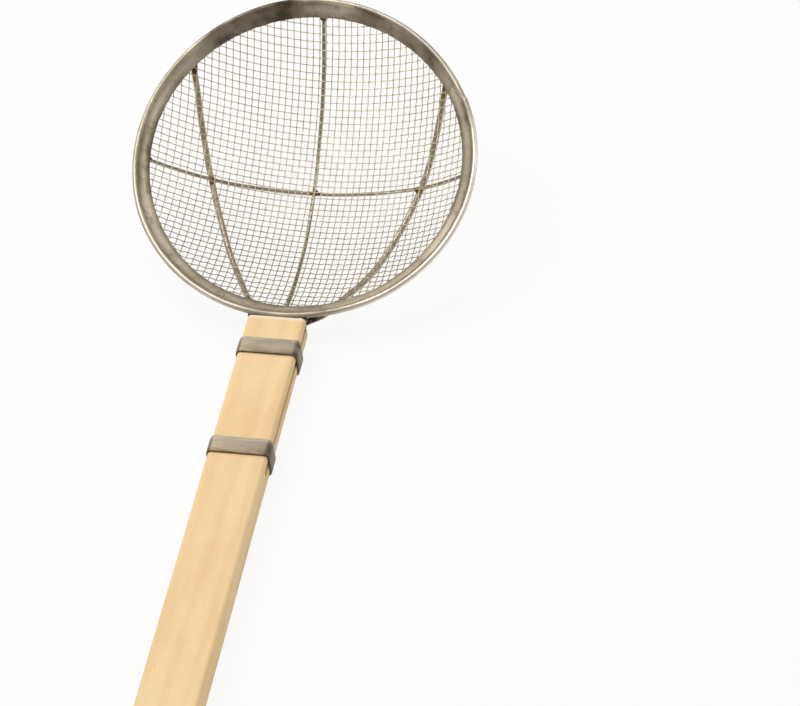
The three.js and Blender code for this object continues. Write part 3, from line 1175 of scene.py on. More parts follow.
@dataclass
class Straps:
    """The two steel strips that bind the sawn end of the handle.

    Attributes:
        wood_gap: How far a strip's inner face is from the wood.
        corner_radius: Radius of its outer bends.
        corner_points: Points round each bend.
        side_points: Spans along each flat side.
        end_gap: The gap between its folded ends, under the handle.
        crown: How far its outer face is crowned.
        shoulder: Where the crown's middle points lie, as a share of half the width.
        sunk: How far they lie below its top, as a share of the crown.
        stray_scale: How quickly the face strays, in bumps per metre.
        edge: How far its long edges are rounded.
        rounding: How far the middle of a rounded edge lies from its corner, as a share of that.
        sharp_angle: The angle from which an edge is shaded sharp.
        worn: Brightening at each point of the section: a painted highlight along the front edge, with
            wear.
        grime: Darkening at each point of the section: painted shade along the rear edge and the inner
            face.
        bend_grime: Painted shade on the right bend and side.
        bend_onset: How soon it sets in round the bend.
        film: Dirt all over each strip.
    """

    finishes: Finishes
    wood_gap: float = 0.06 * MM
    corner_radius: float = 3.6 * MM
    corner_points: int = 9
    side_points: int = 6
    end_gap: float = 9.0 * MM
    crown: float = 0.09 * MM
    shoulder: float = 0.5
    sunk: float = 0.3
    stray_scale: float = 60.0
    edge: float = 0.28 * MM
    rounding: float = 0.3
    sharp_angle: float = math.radians(50.0)
    worn: Sequence[float] = (0.7, 0.15, 0.1, 0.0, 0.0, 0.0, 0.0, 0.0, 0.0, 0.0, 0.3, 0.5, 0.7)
    grime: Sequence[float] = (0.0, 0.0, 0.0, 0.1, 0.9, 1.0, 1.0, 1.0, 0.8, 0.8, 0.4, 0.1, 0.0)
    bend_grime: float = 0.85
    bend_onset: float = 1.6
    film: dict[str, float] = field(
        default_factory=lambda: {"front_strap": 0.0, "rear_strap": 0.16})

    def outline(self, low: Vector, high: Vector) -> list[tuple[Vector, Vector]]:
        """The strip's outer line, from one folded end round to the other.

        Args:
            low: The strap's lowest corner.
            high: Its highest corner.

        Returns:
            Each point and its outward direction, in the XZ plane.
        """
        radius, down = self.corner_radius, Vector((0.0, 0.0, -1.0))
        line = [(Vector((self.end_gap / 2.0, 0.0, low.z)), down)]
        for x, z, angle in round_corners(low, high, radius, self.corner_points):
            outwards = Vector((math.cos(angle), 0.0, math.sin(angle)))
            line.append((Vector((x, 0.0, z)) + outwards * radius, outwards))
        line.append((Vector((-self.end_gap / 2.0, 0.0, low.z)), down))
        full = [line[0]]
        for (here, _), (there, outwards) in zip(line, line[1:]):
            count = self.side_points if (there - here).length > radius else 1
            full += [(here.lerp(there, part / count), outwards) for part in range(1, count + 1)]
        return full

    def section(self, width: float, thickness: float) -> Section:
        """The strip's section.

        Args:
            width: Its width along the handle.
            thickness: Its thickness.

        Returns:
            Points as (along the handle, outwards).
        """
        half, edge, drop = width / 2.0, self.edge, self.crown
        mid, low, bend = half * self.shoulder, -self.sunk * drop, self.rounding * edge
        outer = [(half - edge, -drop), (mid, low), (0.0, 0.0), (-mid, low)]
        rear = [(-half + edge, -drop), (-half + bend, -drop - bend), (-half, -drop - edge)]
        inner = [(-half, -thickness + edge), (-half + edge, -thickness), (half - edge, -thickness)]
        front = [(half, -thickness + edge), (half, -drop - edge), (half - bend, -drop - bend)]
        return outer + rear + inner + front

    def build(self) -> None:
        """Builds both strips and ties them to the frame."""
        wood_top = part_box("handle")[1].z
        for node, film in self.film.items():
            low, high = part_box(node)
            thickness = high.z - wood_top - self.wood_gap
            section = self.section(high.y - low.y, thickness)
            middle = Vector((0.0, (low.y + high.y) / 2.0, 0.0))
            rings, darkened = [], []
            for point, outwards in self.outline(low, high):
                bump = noise.noise(Vector((point.x, middle.y, point.z)) * self.stray_scale)
                stray = (bump - 1.0) * 0.5 * self.crown
                rings.append([middle + point + Vector((0.0, along, 0.0)) + outwards * (out + stray)
                              for along, out in section])
                # Painted shade on the right bend and side, over any even film of dirt.
                bend = max(film, self.bend_grime * smoothstep(self.bend_onset * outwards.x))
                darkened.append([max(value, bend) for value in self.grime])
            mesh = loft(f"{node}_strip", rings)
            # Painted highlight along the front edge; painted shade along the rear edge and the inner face.
            mark_rings(mesh, worn=[self.worn] * len(rings), grime=darkened)
            fit(add_piece(mesh, self.finishes.strap, self.sharp_angle), "strap_steel", node)


@dataclass(frozen=True)
class RibDrift:
    """How far a hand-bent rib lies inside its true line.

    Attributes:
        near: At its near end.
        middle: Halfway.
        far: At its far end.
    """

    near: float
    middle: float
    far: float

    def at(self, share: float) -> float:
        """The drift along the rib.

        Args:
            share: A share of its way under the bowl.

        Returns:
            The drift there.
        """
        near, far = self.near * (1.0 - share), self.far * share
        return near + far + arch(share) * (self.middle - (self.near + self.far) / 2.0)


@dataclass
class Tang:
    """The plate in the saw cut and the two ribs that run on from it under the bowl.

    Attributes:
        rib_radius: Radius of a rib.
        near_half_spread: Half the ribs' distance where they pass under the rim.
        far_azimuth: Where a rib meets the far rim.
        end_turn: How much further round it runs up the band.
        bow: How far a rib bows outwards under the bowl.
        depth: How far below the dish a rib runs.
        ease: Share of its way over which it reaches that depth.
        end_on_band: How far up the band a rib ends.
        weld_gap: How far a wire stands off what it is welded to.
        half_spacing: Half the ribs' distance in the saw cut.
        straight_run: How far they run straight on past the handle.
        splay: How far they have spread at the handle's front end.
        tang_spans: Spans that shape a rib along the plate.
        stations: Spans that shape it under the bowl.
        sides: Faces round a rib.
        weld_share: Where a bead lies between a rib and the roll's middle.
        plate_edge: How far the plate's edges are rounded.
        sharp_angle: The angle from which an edge is shaded sharp.
        scorch_end: How far the far weld marks a rib.
        scorch_and_shade_front: The same for the weld at the plate's front edge. The dark mark there is
            also painted shade by the handle's front end.
        scorch_and_shade_roll: The same for the weld under the roll. The wide dark mark there is also
            painted shade under the rim.
        scorch_cross: The same for the weld to the cross wire.
        drifts: How each rib strays, by side.
    """

    finishes: Finishes
    form: BowlForm
    sweep: WireSweep
    rib_radius: float = 1.8 * MM
    near_half_spread: float = 20.2 * MM
    far_azimuth: float = math.radians(36.6)
    end_turn: float = math.radians(1.4)
    bow: float = 5.5 * MM
    depth: float = 7.45 * MM
    ease: float = 0.34
    end_on_band: float = 4.0 * MM
    weld_gap: float = 0.3 * MM
    half_spacing: float = 13.5 * MM
    straight_run: float = 2.0 * MM
    splay: float = 1.1 * MM
    tang_spans: int = 4
    stations: int = 12
    sides: int = 14
    weld_share: float = 0.4
    plate_edge: float = 0.35 * MM
    sharp_angle: float = math.radians(40.0)
    scorch_end: float = 22.0 * MM
    scorch_and_shade_front: float = 8.0 * MM
    scorch_and_shade_roll: float = 24.0 * MM
    scorch_cross: float = 5.0 * MM
    drifts: dict[int, RibDrift] = field(default_factory=lambda: {
        -1: RibDrift(1.8 * MM, 0.0, 0.2 * MM), 1: RibDrift(-3.0 * MM, -2.2 * MM, 0.4 * MM)})

    def path(self, side: int) -> list[Vector]:
        """A rib's middle line.

        Args:
            side: -1 for the left rib, 1 for the right one.

        Returns:
            Points in the CAD frame, from the rear end of the tang.
        """
        form, place, drift = self.form, self.form.matrix(), self.drifts[side]
        plate_low, plate_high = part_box("tang_plate")
        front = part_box("handle")[1].y
        height = (plate_low.z + plate_high.z) / 2.0
        end_depth = form.band_half + self.weld_gap + self.rib_radius
        near_azimuth = -math.acos(self.near_half_spread / form.mesh_radius)
        near = form.under_band(near_azimuth, 0.0, 0.0)
        far = form.under_band(self.far_azimuth, 0.0, 0.0)
        along = Vector((far.x - near.x, far.y - near.y, 0.0)).normalized()
        outwards = Vector((along.y, -along.x, 0.0))
        tang = []
        for index in range(self.tang_spans + 1):
            part = index / self.tang_spans
            spread = self.half_spacing + self.splay * part ** 4
            tang.append(Vector((side * spread, plate_low.y + (front - plate_low.y) * part, height)))
        tang.append(tang[-1] + Vector((0.0, self.straight_run, 0.0)))
        under = [form.under_band(near_azimuth, 0.0, end_depth) - outwards * drift.at(0.0)]
        for index in range(1, self.stations):
            share = index / self.stations
            eased = smoothstep(min(share, 1.0 - share) / self.ease)
            plan = near.lerp(far, share) + outwards * (arch(share) * self.bow - drift.at(share))
            under.append(form.under_mesh(plan.x, plan.y, end_depth + (self.depth - end_depth) * eased))
        shift = self.end_turn + drift.at(1.0) / form.mesh_radius
        under.append(form.under_band(self.far_azimuth + shift, self.end_on_band, end_depth))
        placed = [place @ Vector((side * point.x, point.y, point.z)) for point in under]
        return smooth_path(tang + placed, self.sweep.step)

    def rim_weld(self, path: Sequence[Vector]) -> Vector:
        """Where a rib is welded to the roll as it passes under it.

        Args:
            path: The rib's middle line.

        Returns:
            A point between the rib and the roll.
        """
        place = self.form.matrix()
        inverse = place.inverted()

        def roll_by(point: Vector) -> Vector:
            """The nearest point on the roll's middle line."""
            local = inverse @ point
            return place @ (Vector((local.x, local.y, 0.0)).normalized() * self.form.bead.x)

        near_half = path[:len(path) // 2]
        on_rib = min(near_half, key=lambda point: (point - roll_by(point)).length)
        return on_rib.lerp(roll_by(on_rib), self.weld_share)

    def build(self, cross: Sequence[Vector]) -> tuple[list[Vector], list[Vector], list[Vector]]:
        """Builds the plate and the ribs and ties them to the frame.

        Args:
            cross: The middle line of the cross wire, which is welded to the ribs.

        Returns:
            Where the ribs are welded to the far rim, where under the near roll and where to the
            cross wire.
        """
        low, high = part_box("tang_plate")
        shape = block((low + high) / 2.0, high - low)
        bmesh.ops.bevel(shape, geom=shape.edges, offset=self.plate_edge, segments=3, profile=0.5,
                        affect="EDGES")
        plate = add_piece(to_mesh("tang_flat_plate", shape), self.finishes.plate, self.sharp_angle)
        fit(plate, "tang_steel", "tang_plate")
        ends, under_roll, crossings = [], [], []
        for side, node in ((-1, "left_rib"), (1, "right_rib")):
            path = self.path(side)
            piece = self.sweep.wire(f"{node}_wire", path, self.rib_radius, self.sides, self.finishes.rib)
            under_roll.append(self.rim_weld(path))
            crossings.append(meeting_point(path, cross))
            front = min(path, key=lambda point: abs(point.y - high.y))
            # Weld heat. At the plate's front edge and under the roll, the wide dark marks are also painted
            # shade.
            spots = [(path[-1], self.scorch_end), (front, self.scorch_and_shade_front),
                     (under_roll[-1], self.scorch_and_shade_roll), (crossings[-1], self.scorch_cross)]
            mark(piece.data, "scorch_and_shade", spots)
            fit(piece, "rib_steel", node)
            ends += weld_run(path[::-1])
        return ends, under_roll, crossings


@dataclass
class BraceWires:
    """The two thin wires that brace the dish from below: the spine and the cross wire.

    Attributes:
        radius: Radius of both wires.
        spine_depth: How far below the dish the spine runs.
        cross_depth: The same for the cross wire.
        spine_ends: Where the spine's ends lie across the handle's line, near and far.
        cross_ends: Where the cross wire's ends lie along it, left and right.
        ease: Share of a wire's way over which it reaches its depth.
        end_on_band: How far up the band a wire ends.
        weld_gap: How far a wire stands off what it is welded to.
        stations: Spans that shape a wire.
        sides: Faces round a wire.
        scorch_end: How far the weld at an end marks a wire.
        scorch_cross: The same for a weld to another wire.
    """

    finishes: Finishes
    form: BowlForm
    sweep: WireSweep
    radius: float = 1.1 * MM
    spine_depth: float = 1.75 * MM
    cross_depth: float = 4.25 * MM
    spine_ends: tuple[float, float] = (0.7 * MM, -2.0 * MM)
    cross_ends: tuple[float, float] = (-5.6 * MM, -0.4 * MM)
    ease: float = 0.12
    end_on_band: float = 4.0 * MM
    weld_gap: float = 0.3 * MM
    stations: int = 16
    sides: int = 10
    scorch_end: float = 8.0 * MM
    scorch_cross: float = 6.0 * MM

    def path(self, start: float, end: float, full_depth: float) -> list[Vector]:
        """A thin wire's middle line, straight in plan.

        Args:
            start: Azimuth of its first end.
            end: Azimuth of its other end.
            full_depth: How far below the dish it runs.

        Returns:
            Points in the CAD frame.
        """
        form, place = self.form, self.form.matrix()
        end_depth = form.band_half + self.weld_gap + self.radius
        first, last = form.under_band(start, 0.0, 0.0), form.under_band(end, 0.0, 0.0)
        points = [form.under_band(start, self.end_on_band, end_depth)]
        for index in range(1, self.stations):
            share = index / self.stations
            eased = smoothstep(min(share, 1.0 - share) / self.ease)
            plan = first.lerp(last, share)
            points.append(form.under_mesh(plan.x, plan.y, end_depth + (full_depth - end_depth) * eased))
        points.append(form.under_band(end, self.end_on_band, end_depth))
        return smooth_path([place @ point for point in points], self.sweep.step)

    def spine(self) -> list[Vector]:
        """The spine's middle line."""
        near, far = (math.asin(x / self.form.mesh_radius) for x in self.spine_ends)
        return self.path(near - math.pi / 2.0, math.pi / 2.0 - far, self.spine_depth)

    def cross(self) -> list[Vector]:
        """The cross wire's middle line."""
        left, right = (math.asin(y / self.form.mesh_radius) for y in self.cross_ends)
        return self.path(math.pi - left, right, self.cross_depth)

    def build(self, on_ribs: Sequence[Vector]) -> tuple[list[Vector], list[Vector]]:
        """Builds both wires and ties them to the frame.

        Args:
            on_ribs: Where the cross wire is welded to the ribs.

        Returns:
            Where they are welded to the rim, and where to each other and to the ribs.
        """
        spine, cross = self.spine(), self.cross()
        crossings = [meeting_point(spine, cross), *on_ribs]
        for node, path in (("spine_wire", spine), ("cross_wire", cross)):
            piece = self.sweep.wire(f"{node}_rod", path, self.radius, self.sides, self.finishes.wire)
            spots = [(path[0], self.scorch_end), (path[-1], self.scorch_end)]
            spots += [(point, self.scorch_cross) for point in crossings]
            mark(piece.data, "scorch_and_shade", spots)
            fit(piece, "wire_steel", node)
        ends = [end for path in (spine, cross) for end in weld_run(path) + weld_run(path[::-1])]
        return ends, crossings


@dataclass(frozen=True)
class RimArc:
    """A stretch of the rim.

    Attributes:
        middle: Its azimuth.
        reach: How far it runs to each side, as an angle.
        amount: How strongly it is marked.
    """

    middle: float
    reach: float
    amount: float

    def at(self, azimuth: float) -> float:
        """How strongly it is marked at an azimuth."""
        away = abs((azimuth - self.middle + math.pi) % (FULL_TURN) - math.pi)
        return self.amount * smoothstep(ARC_ONSET * (1.0 - away / self.reach))


@dataclass(frozen=True)
class RubAndHighlightArc(RimArc):
    """A stretch of the roll that is brightened: a painted highlight, with wear.

    Attributes:
        crest: Where on the roll it is strongest, from 0 under the band round to 1 on top of it.
        sharpness: How narrow it is on the roll.
    """

    crest: float
    sharpness: float

    def on_roll(self, azimuth: float, turn: float) -> float:
        """The wear at an azimuth and a place on the roll."""
        return self.at(azimuth) * max(0.0, math.cos(self.sharpness * (turn - self.crest)))


@dataclass
class Rim:
    """The folded band that grips the cloth's edge and is rolled round a wire hoop.

    Attributes:
        segments: Stations round the rim.
        sheet: Thickness of the sheet.
        slot_half: Half the gap between the leaves.
        mouth_half: The same at their edges, where they close on the cloth.
        mouth_depth: How far in from their edges the gap is full.
        lip: How far in from a leaf's edge the gap starts.
        leaf: Points across a leaf, as how far up from its edge and how far below full thickness.
        crease: How far the leaves are pressed in below the roll.
        ragged: How far the leaves' edges stray.
        ragged_scale: How quickly they stray, in bumps per metre.
        ragged_offsets: Where in the noise the lower and the upper edge lie.
        overlap: How much further the leaves reach in by the tang.
        waver: How far the roll strays from a true circle.
        waver_scale: How quickly it strays, in bumps per metre.
        ripple: How far it ripples, as a share of that.
        ripple_scale: How quickly it ripples.
        sway_start: From where up the band it follows the roll, as a share of its width.
        sway_span: Over how much of its width it comes to follow it in full.
        lobes: How far its three soft lobes stand out.
        lobe_azimuth: Where the first of them is.
        seam: Azimuth of the lap where the band's ends meet.
        lap_rise: How far the lap stands out.
        lap_lift: How far it stands up, as a share of that.
        lap_fade: Angle over which it dies away.
        roll_points: Spans round the roll.
        sharp_angle: The angle from which an edge is shaded sharp.
        wire_radius: Radius of the hoop inside the roll.
        wire_sides: Faces round that hoop.
        roll_shade: Darkening on the roll, less where a highlight is painted: painted shade.
        roll_shade_onset: How soon it sets in round the roll.
        rub_and_highlight: Where the roll is brightened: painted highlights, with wear.
        lower_grime: Darkening at the points of the lower leaf, from its edge: painted shade and dirt.
        upper_grime: Darkening at the points of the upper leaf, to its edge: painted shade and dirt.
        under_roll: Painted shade under the roll by the tang.
        under_crest: Where on the roll that is strongest.
        under_sharpness: How narrow it is on the roll.
        crease_grime: Painted shade and dirt where the roll meets the upper leaf.
        crease_start: From where on the roll it sets in.
        darkened: Stretches where the upper leaf and the roll are darker.
        heat_reach: How far a weld marks the band.
    """

    finishes: Finishes
    form: BowlForm
    sweep: WireSweep
    segments: int = 540
    sheet: float = 0.45 * MM
    slot_half: float = 0.66 * MM
    mouth_half: float = 0.38 * MM
    mouth_depth: float = 1.8 * MM
    lip: float = 0.08 * MM
    leaf: Sequence[tuple[float, float]] = (
        (0.0, 0.67 * MM), (0.25 * MM, 0.55 * MM), (1.6 * MM, 0.08 * MM), (4.0 * MM, 0.0),
        (6.2 * MM, 0.05 * MM))
    crease: float = 0.16 * MM
    ragged: float = 0.32 * MM
    ragged_scale: float = 330.0
    ragged_offsets: tuple[float, float] = (3.0, 8.0)
    overlap: RimArc = RimArc(math.radians(-90.0), math.radians(36.0), 1.3 * MM)
    waver: float = 0.3 * MM
    waver_scale: float = 22.0
    ripple: float = 0.2
    ripple_scale: float = 160.0
    sway_start: float = 0.45
    sway_span: float = 0.5
    lobes: float = 0.8 * MM
    lobe_azimuth: float = math.radians(-21.0)
    seam: float = math.radians(26.0)
    lap_rise: float = 0.45 * MM
    lap_lift: float = 0.35
    lap_fade: float = math.radians(24.0)
    roll_points: int = 18
    sharp_angle: float = math.radians(48.0)
    wire_radius: float = 0.6 * MM
    wire_sides: int = 8
    roll_shade: float = 0.58
    roll_shade_onset: float = 3.0
    # Painted highlights along the roll, with wear.
    rub_and_highlight: Sequence[RubAndHighlightArc] = (
        RubAndHighlightArc(math.radians(-20.0), math.radians(58.0), 1.0, 0.5, 4.0),
        RubAndHighlightArc(math.radians(222.0), math.radians(50.0), 0.8, 0.64, 9.0),
        RubAndHighlightArc(math.radians(58.0), math.radians(36.0), 0.5, 0.66, 9.0),
    )
    # Painted shade and dirt at the leaves' edges and by the roll.
    lower_grime: Sequence[float] = (1.0, 0.8, 0.2, 0.0, 0.4)
    upper_grime: Sequence[float] = (0.55, 0.0, 0.7, 1.0, 1.0)
    # Painted shade under the roll by the tang.
    under_roll: RimArc = RimArc(math.radians(-90.0), math.radians(19.0), 1.0)
    under_crest: float = 0.2
    under_sharpness: float = 3.6
    crease_grime: float = 0.75
    crease_start: float = 0.875
    darkened: Sequence[RimArc] = (
        RimArc(math.radians(248.0), math.radians(17.0), 0.5),
        RimArc(math.radians(296.0), math.radians(22.0), 0.5),
        RimArc(math.radians(95.0), math.radians(55.0), 0.4),
        RimArc(math.radians(119.0), math.radians(30.0), 1.6),
        RimArc(math.radians(60.0), math.radians(32.0), 1.4),
    )
    heat_reach: float = 5.5 * MM

    @property
    def inner_points(self) -> int:
        """Points of the section inside the fold: two on each leaf and those round the bore."""
        return 4 + self.roll_points // 2 + 1

    def lap(self, azimuth: float) -> float:
        """How far the lap stands out at an azimuth."""
        past = (self.seam - azimuth) % (FULL_TURN)
        return self.lap_rise * math.exp(-past / self.lap_fade)

    def lobe(self, azimuth: float) -> float:
        """How far the hoop's lobes stand out at an azimuth."""
        return self.lobes * math.cos(3.0 * (azimuth - self.lobe_azimuth))

    def section(self, azimuth: float) -> list[Vector]:
        """The band's section.

        Args:
            azimuth: Where it is.

        Returns:
            Points as (radius, height), from the lower leaf's edge round the roll and back inside.
        """
        form = self.form
        around = Vector((math.cos(azimuth), math.sin(azimuth), 0.0)) * form.mesh_radius
        bumps = [noise.noise(around * self.ragged_scale + Vector((0.0, 0.0, level)))
                 for level in self.ragged_offsets]
        frays = [bump * self.ragged - self.overlap.at(azimuth) for bump in bumps]
        stray = noise.noise(around * self.waver_scale) * self.waver
        stray += noise.noise(around * self.ripple_scale) * self.ripple * self.waver + self.lobe(azimuth)
        span = (form.bead - form.foot).length
        roll = form.bead_radius
        half = form.band_half
        meet = math.asin((half - self.crease) / roll)
        leaf = [(along, half - sunk) for along, sunk in self.leaf]
        outer = [(along + frays[0] * (1.0 - along / span), out) for along, out in leaf]
        for index in range(self.roll_points + 1):
            angle = meet + (FULL_TURN - 2.0 * meet) * index / self.roll_points
            outer.append((span - roll * math.cos(angle), roll * math.sin(angle)))
        outer += [(along + frays[1] * (1.0 - along / span), -out) for along, out in reversed(leaf)]
        bore = roll - self.sheet
        close = math.asin(self.slot_half / bore)
        inner = [(frays[1] + self.lip, -self.mouth_half), (self.mouth_depth, -self.slot_half)]
        spans = self.roll_points // 2
        for index in range(spans + 1):
            angle = FULL_TURN - close - (FULL_TURN - 2.0 * close) * index / spans
            inner.append((span - bore * math.cos(angle), bore * math.sin(angle)))
        inner += [(self.mouth_depth, self.slot_half), (frays[0] + self.lip, self.mouth_half)]
        lap = self.lap(azimuth)
        points = []
        for along, out in outer + inner:
            point = form.foot + form.up_band * along + form.out_of_band * out
            share = smoothstep((along - self.sway_start * span) / (self.sway_span * span))
            points.append(point + Vector((lap + stray, self.lap_lift * lap)) * share)
        return points

    def marks(self, azimuth: float) -> tuple[list[float], list[float]]:
        """Where the band is brightened and where it is darkened: painted highlights and shade, with wear
        and dirt.

        Args:
            azimuth: Where the section is.

        Returns:
            The brightening and the darkening at each point of the section.
        """
        shade = self.under_roll.at(azimuth)
        darkening = max(arc.at(azimuth) for arc in self.darkened)
        roll_worn, roll_grime = [], []
        for index in range(self.roll_points + 1):
            turn = index / self.roll_points
            # Painted highlight on the roll, with wear.
            rub_and_highlight = max(arc.on_roll(azimuth, turn) for arc in self.rub_and_highlight)
            # Painted shade under the roll by the tang.
            under = shade * max(0.0, math.cos(self.under_sharpness * (turn - self.under_crest)))
            # Painted shade and dirt in the crease by the upper leaf.
            past = (turn - self.crease_start) / (1.0 - self.crease_start)
            # Painted shade on the roll, less where a highlight is painted.
            dull = max(self.roll_shade, darkening) * smoothstep(self.roll_shade_onset * turn) * (1.0 - rub_and_highlight)
            roll_worn.append(rub_and_highlight)
            roll_grime.append(max(under, self.crease_grime * smoothstep(past), dull))
        lower, upper = self.lower_grime, [max(value, darkening) for value in self.upper_grime]
        worn = [0.0] * len(lower) + roll_worn + [0.0] * (len(upper) + self.inner_points)
        # Inside the fold the band is darkened in full: painted shade.
        return worn, [*lower, *roll_grime, *upper] + [1.0] * self.inner_points

    def build(self, welded: Sequence[Vector]) -> None:
        """Builds the band and the hoop inside it and ties them to the frame.

        Args:
            welded: Where wires are welded to it.
        """
        place = self.form.matrix()
        rings, worn, grime, along, around = [], [], [], [], []
        for index in range(self.segments):
            azimuth = self.seam + FULL_TURN * index / self.segments
            across = Vector((math.cos(azimuth), math.sin(azimuth), 0.0))
            rings.append([place @ (across * point.x + Vector((0.0, 0.0, point.y)))
                          for point in self.section(azimuth)])
            count = len(rings[-1])
            rub_and_highlight, darkened = self.marks(azimuth)
            worn.append(rub_and_highlight)
            grime.append(darkened)
            along.append([azimuth * self.form.mesh_radius] * count)
            around.append([number / count for number in range(count)])
        mesh = loft("rim_folded_band", rings, hoop=True)
        mark_rings(mesh, worn=worn, grime=grime, along=along, around=around)
        mark(mesh, "scorch_and_shade", [(point, self.heat_reach) for point in welded])
        fit(add_piece(mesh, self.finishes.rim, self.sharp_angle), "rim_steel", "rim_band")
        bead, spans = self.form.bead, self.segments // 2
        hoop = []
        for index in range(spans):
            azimuth = FULL_TURN * index / spans
            radius = bead.x + self.lobe(azimuth)
            hoop.append(place @ Vector((radius * math.cos(azimuth), radius * math.sin(azimuth), bead.y)))
        piece = self.sweep.wire("rim_hoop_wire", hoop, self.wire_radius, self.wire_sides,
                                self.finishes.wire, closed=True)
        fit(piece, "wire_steel", "rim_wire")


@dataclass
class WireCloth:
    """The woven wire cloth of the dish.

    Attributes:
        pitch: Distance from wire to wire.
        wire_radius: Radius of a wire.
        lift: How far a wire rises and dips where it crosses another.
        tuck: How far the cloth reaches past the band's inner edge.
        wires: Wires in each direction, an odd number.
        points: Points along a wire for each crossing.
        sides: Faces around a wire.
        waver: How far the weave strays from square.
        waver_scale: How quickly it strays, in bumps per metre.
        near_darkening: How much darker it is on its side by the handle.
        near_darkening_span: From where to where that dies away, as a share of the dish's radius.
    """

    finishes: Finishes
    form: BowlForm
    pitch: float = 3.8 * MM
    wire_radius: float = 0.3 * MM
    lift: float = 0.307 * MM
    tuck: float = 3.2 * MM
    wires: int = 51
    points: int = 3
    sides: int = 6
    waver: float = 0.5 * MM
    waver_scale: float = 38.0
    near_darkening: float = 0.85
    near_darkening_span: tuple[float, float] = (-0.75, 0.45)

    def tree(self) -> BuildGraph:
        """The tree that weaves a square cloth, cuts it round and dishes it.

        Returns:
            The tree.
        """
        lengths = ("Pitch", "Wire Radius", "Lift", "Waver", "Stain", "Dish Radius", "Cut Radius",
                   "Sphere Radius", "Sphere Height", "Band Slope")
        graph = BuildGraph("wire_cloth", lengths, ("Wires", "Points", "Sides"))
        given = graph.given
        gaps = graph.math("SUBTRACT", given["Wires"], 1.0)
        size = graph.math("MULTIPLY", gaps, given["Pitch"])
        stations = graph.math("ADD", graph.math("MULTIPLY", gaps, given["Points"]), 1.0)
        feeds = {"Size X": size, "Size Y": size, "Vertices X": stations, "Vertices Y": given["Wires"]}
        grid = graph.add("GeometryNodeMeshGrid", feeds).outputs[0]
        ends = graph.add("GeometryNodeInputMeshEdgeVertices").outputs
        run = graph.vector("SUBTRACT", ends["Position 1"], ends["Position 2"])
        across = graph.math("ABSOLUTE", graph.add("ShaderNodeSeparateXYZ", {0: run}).outputs["Y"])
        crosswise = graph.math("GREATER_THAN", across, graph.math("MULTIPLY", given["Pitch"], 0.5))
        feeds = {"Geometry": grid, "Selection": crosswise}
        warp = graph.add("GeometryNodeDeleteGeometry", feeds, domain="EDGE", mode="EDGE_FACE").outputs[0]
        turn = {"Geometry": warp, "Rotation": (0.0, 0.0, math.pi / 2.0)}
        weft = graph.add("GeometryNodeTransform", turn).outputs[0]
        join = graph.add("GeometryNodeJoinGeometry")
        for family, over in ((warp, 1.0), (weft, -1.0)):
            graph.tree.links.new(graph.store(family, "over", over), join.inputs[0])
        place = graph.add("GeometryNodeInputPosition").outputs[0]
        radius = graph.add("ShaderNodeVectorMath", {0: place}, operation="LENGTH").outputs["Value"]
        outside = graph.math("GREATER_THAN", radius, given["Cut Radius"])
        feeds = {"Geometry": join.outputs[0], "Selection": outside}
        cut = graph.add("GeometryNodeDeleteGeometry", feeds, domain="POINT").outputs[0]
        curve = graph.add("GeometryNodeMeshToCurve", {"Mesh": self.dish(graph, cut, place)}).outputs[0]
        graph.finish(graph.tube(curve, given["Wire Radius"], given["Sides"]))
        return graph

    def dish(self, graph: BuildGraph, flat: Any, place: Any) -> bpy.types.NodeSocket:
        """Adds the nodes that weave the flat wires and press them into the dish.

        Args:
            graph: The tree.
            flat: The flat wires.
            place: A point's position.

        Returns:
            The dished wires.
        """
        given = graph.given
        split = graph.add("ShaderNodeSeparateXYZ", {0: place}).outputs
        pace = graph.math("DIVIDE", math.pi, given["Pitch"])
        waves = [graph.math("COSINE", graph.math("MULTIPLY", split[axis], pace)) for axis in ("X", "Y")]
        wave = graph.math("MULTIPLY", *waves)
        # How near each point lies to a crossing, where the material paints shade, with dirt.
        marked = graph.store(flat, "crossing", graph.math("ABSOLUTE", wave))
        near = graph.math("DIVIDE", split["Y"], given["Dish Radius"])
        marked = graph.store(marked, "grime", graph.ramp(near, *self.near_darkening_span, given["Stain"], 0.0))
        lift = graph.math("MULTIPLY", graph.math("MULTIPLY", wave, graph.kept("over")), given["Lift"])
        feeds = {"Vector": place, "Scale": self.waver_scale, "Detail": 1.0}
        random = graph.add("ShaderNodeTexNoise", feeds).outputs["Color"]
        centred = graph.vector("SUBTRACT", random, (0.5, 0.5, 0.5))
        stray = graph.vector("MULTIPLY", centred, (1.0, 1.0, 0.0))
        strayed = graph.vector("ADD", place, graph.scaled(stray, given["Waver"]))
        radius = graph.add("ShaderNodeVectorMath", {0: strayed}, operation="LENGTH").outputs["Value"]
        held = graph.math("MINIMUM", radius, given["Dish Radius"])
        sphere = graph.math("MULTIPLY", given["Sphere Radius"], given["Sphere Radius"])
        drop = graph.math("SQRT", graph.math("SUBTRACT", sphere, graph.math("MULTIPLY", held, held)))
        beyond = graph.math("MULTIPLY", graph.math("SUBTRACT", radius, held), given["Band Slope"])
        height = graph.math("ADD", graph.math("SUBTRACT", given["Sphere Height"], drop), beyond)
        rise = graph.add("ShaderNodeCombineXYZ", {"Z": height}).outputs[0]
        spoke = graph.add("ShaderNodeCombineXYZ", {"Z": drop}).outputs[0]
        normal = graph.vector("NORMALIZE", graph.vector("SUBTRACT", spoke, strayed))
        pressed = graph.vector("ADD", graph.vector("ADD", strayed, rise), graph.scaled(normal, lift))
        return graph.add("GeometryNodeSetPosition", {"Geometry": marked, "Position": pressed}).outputs[0]

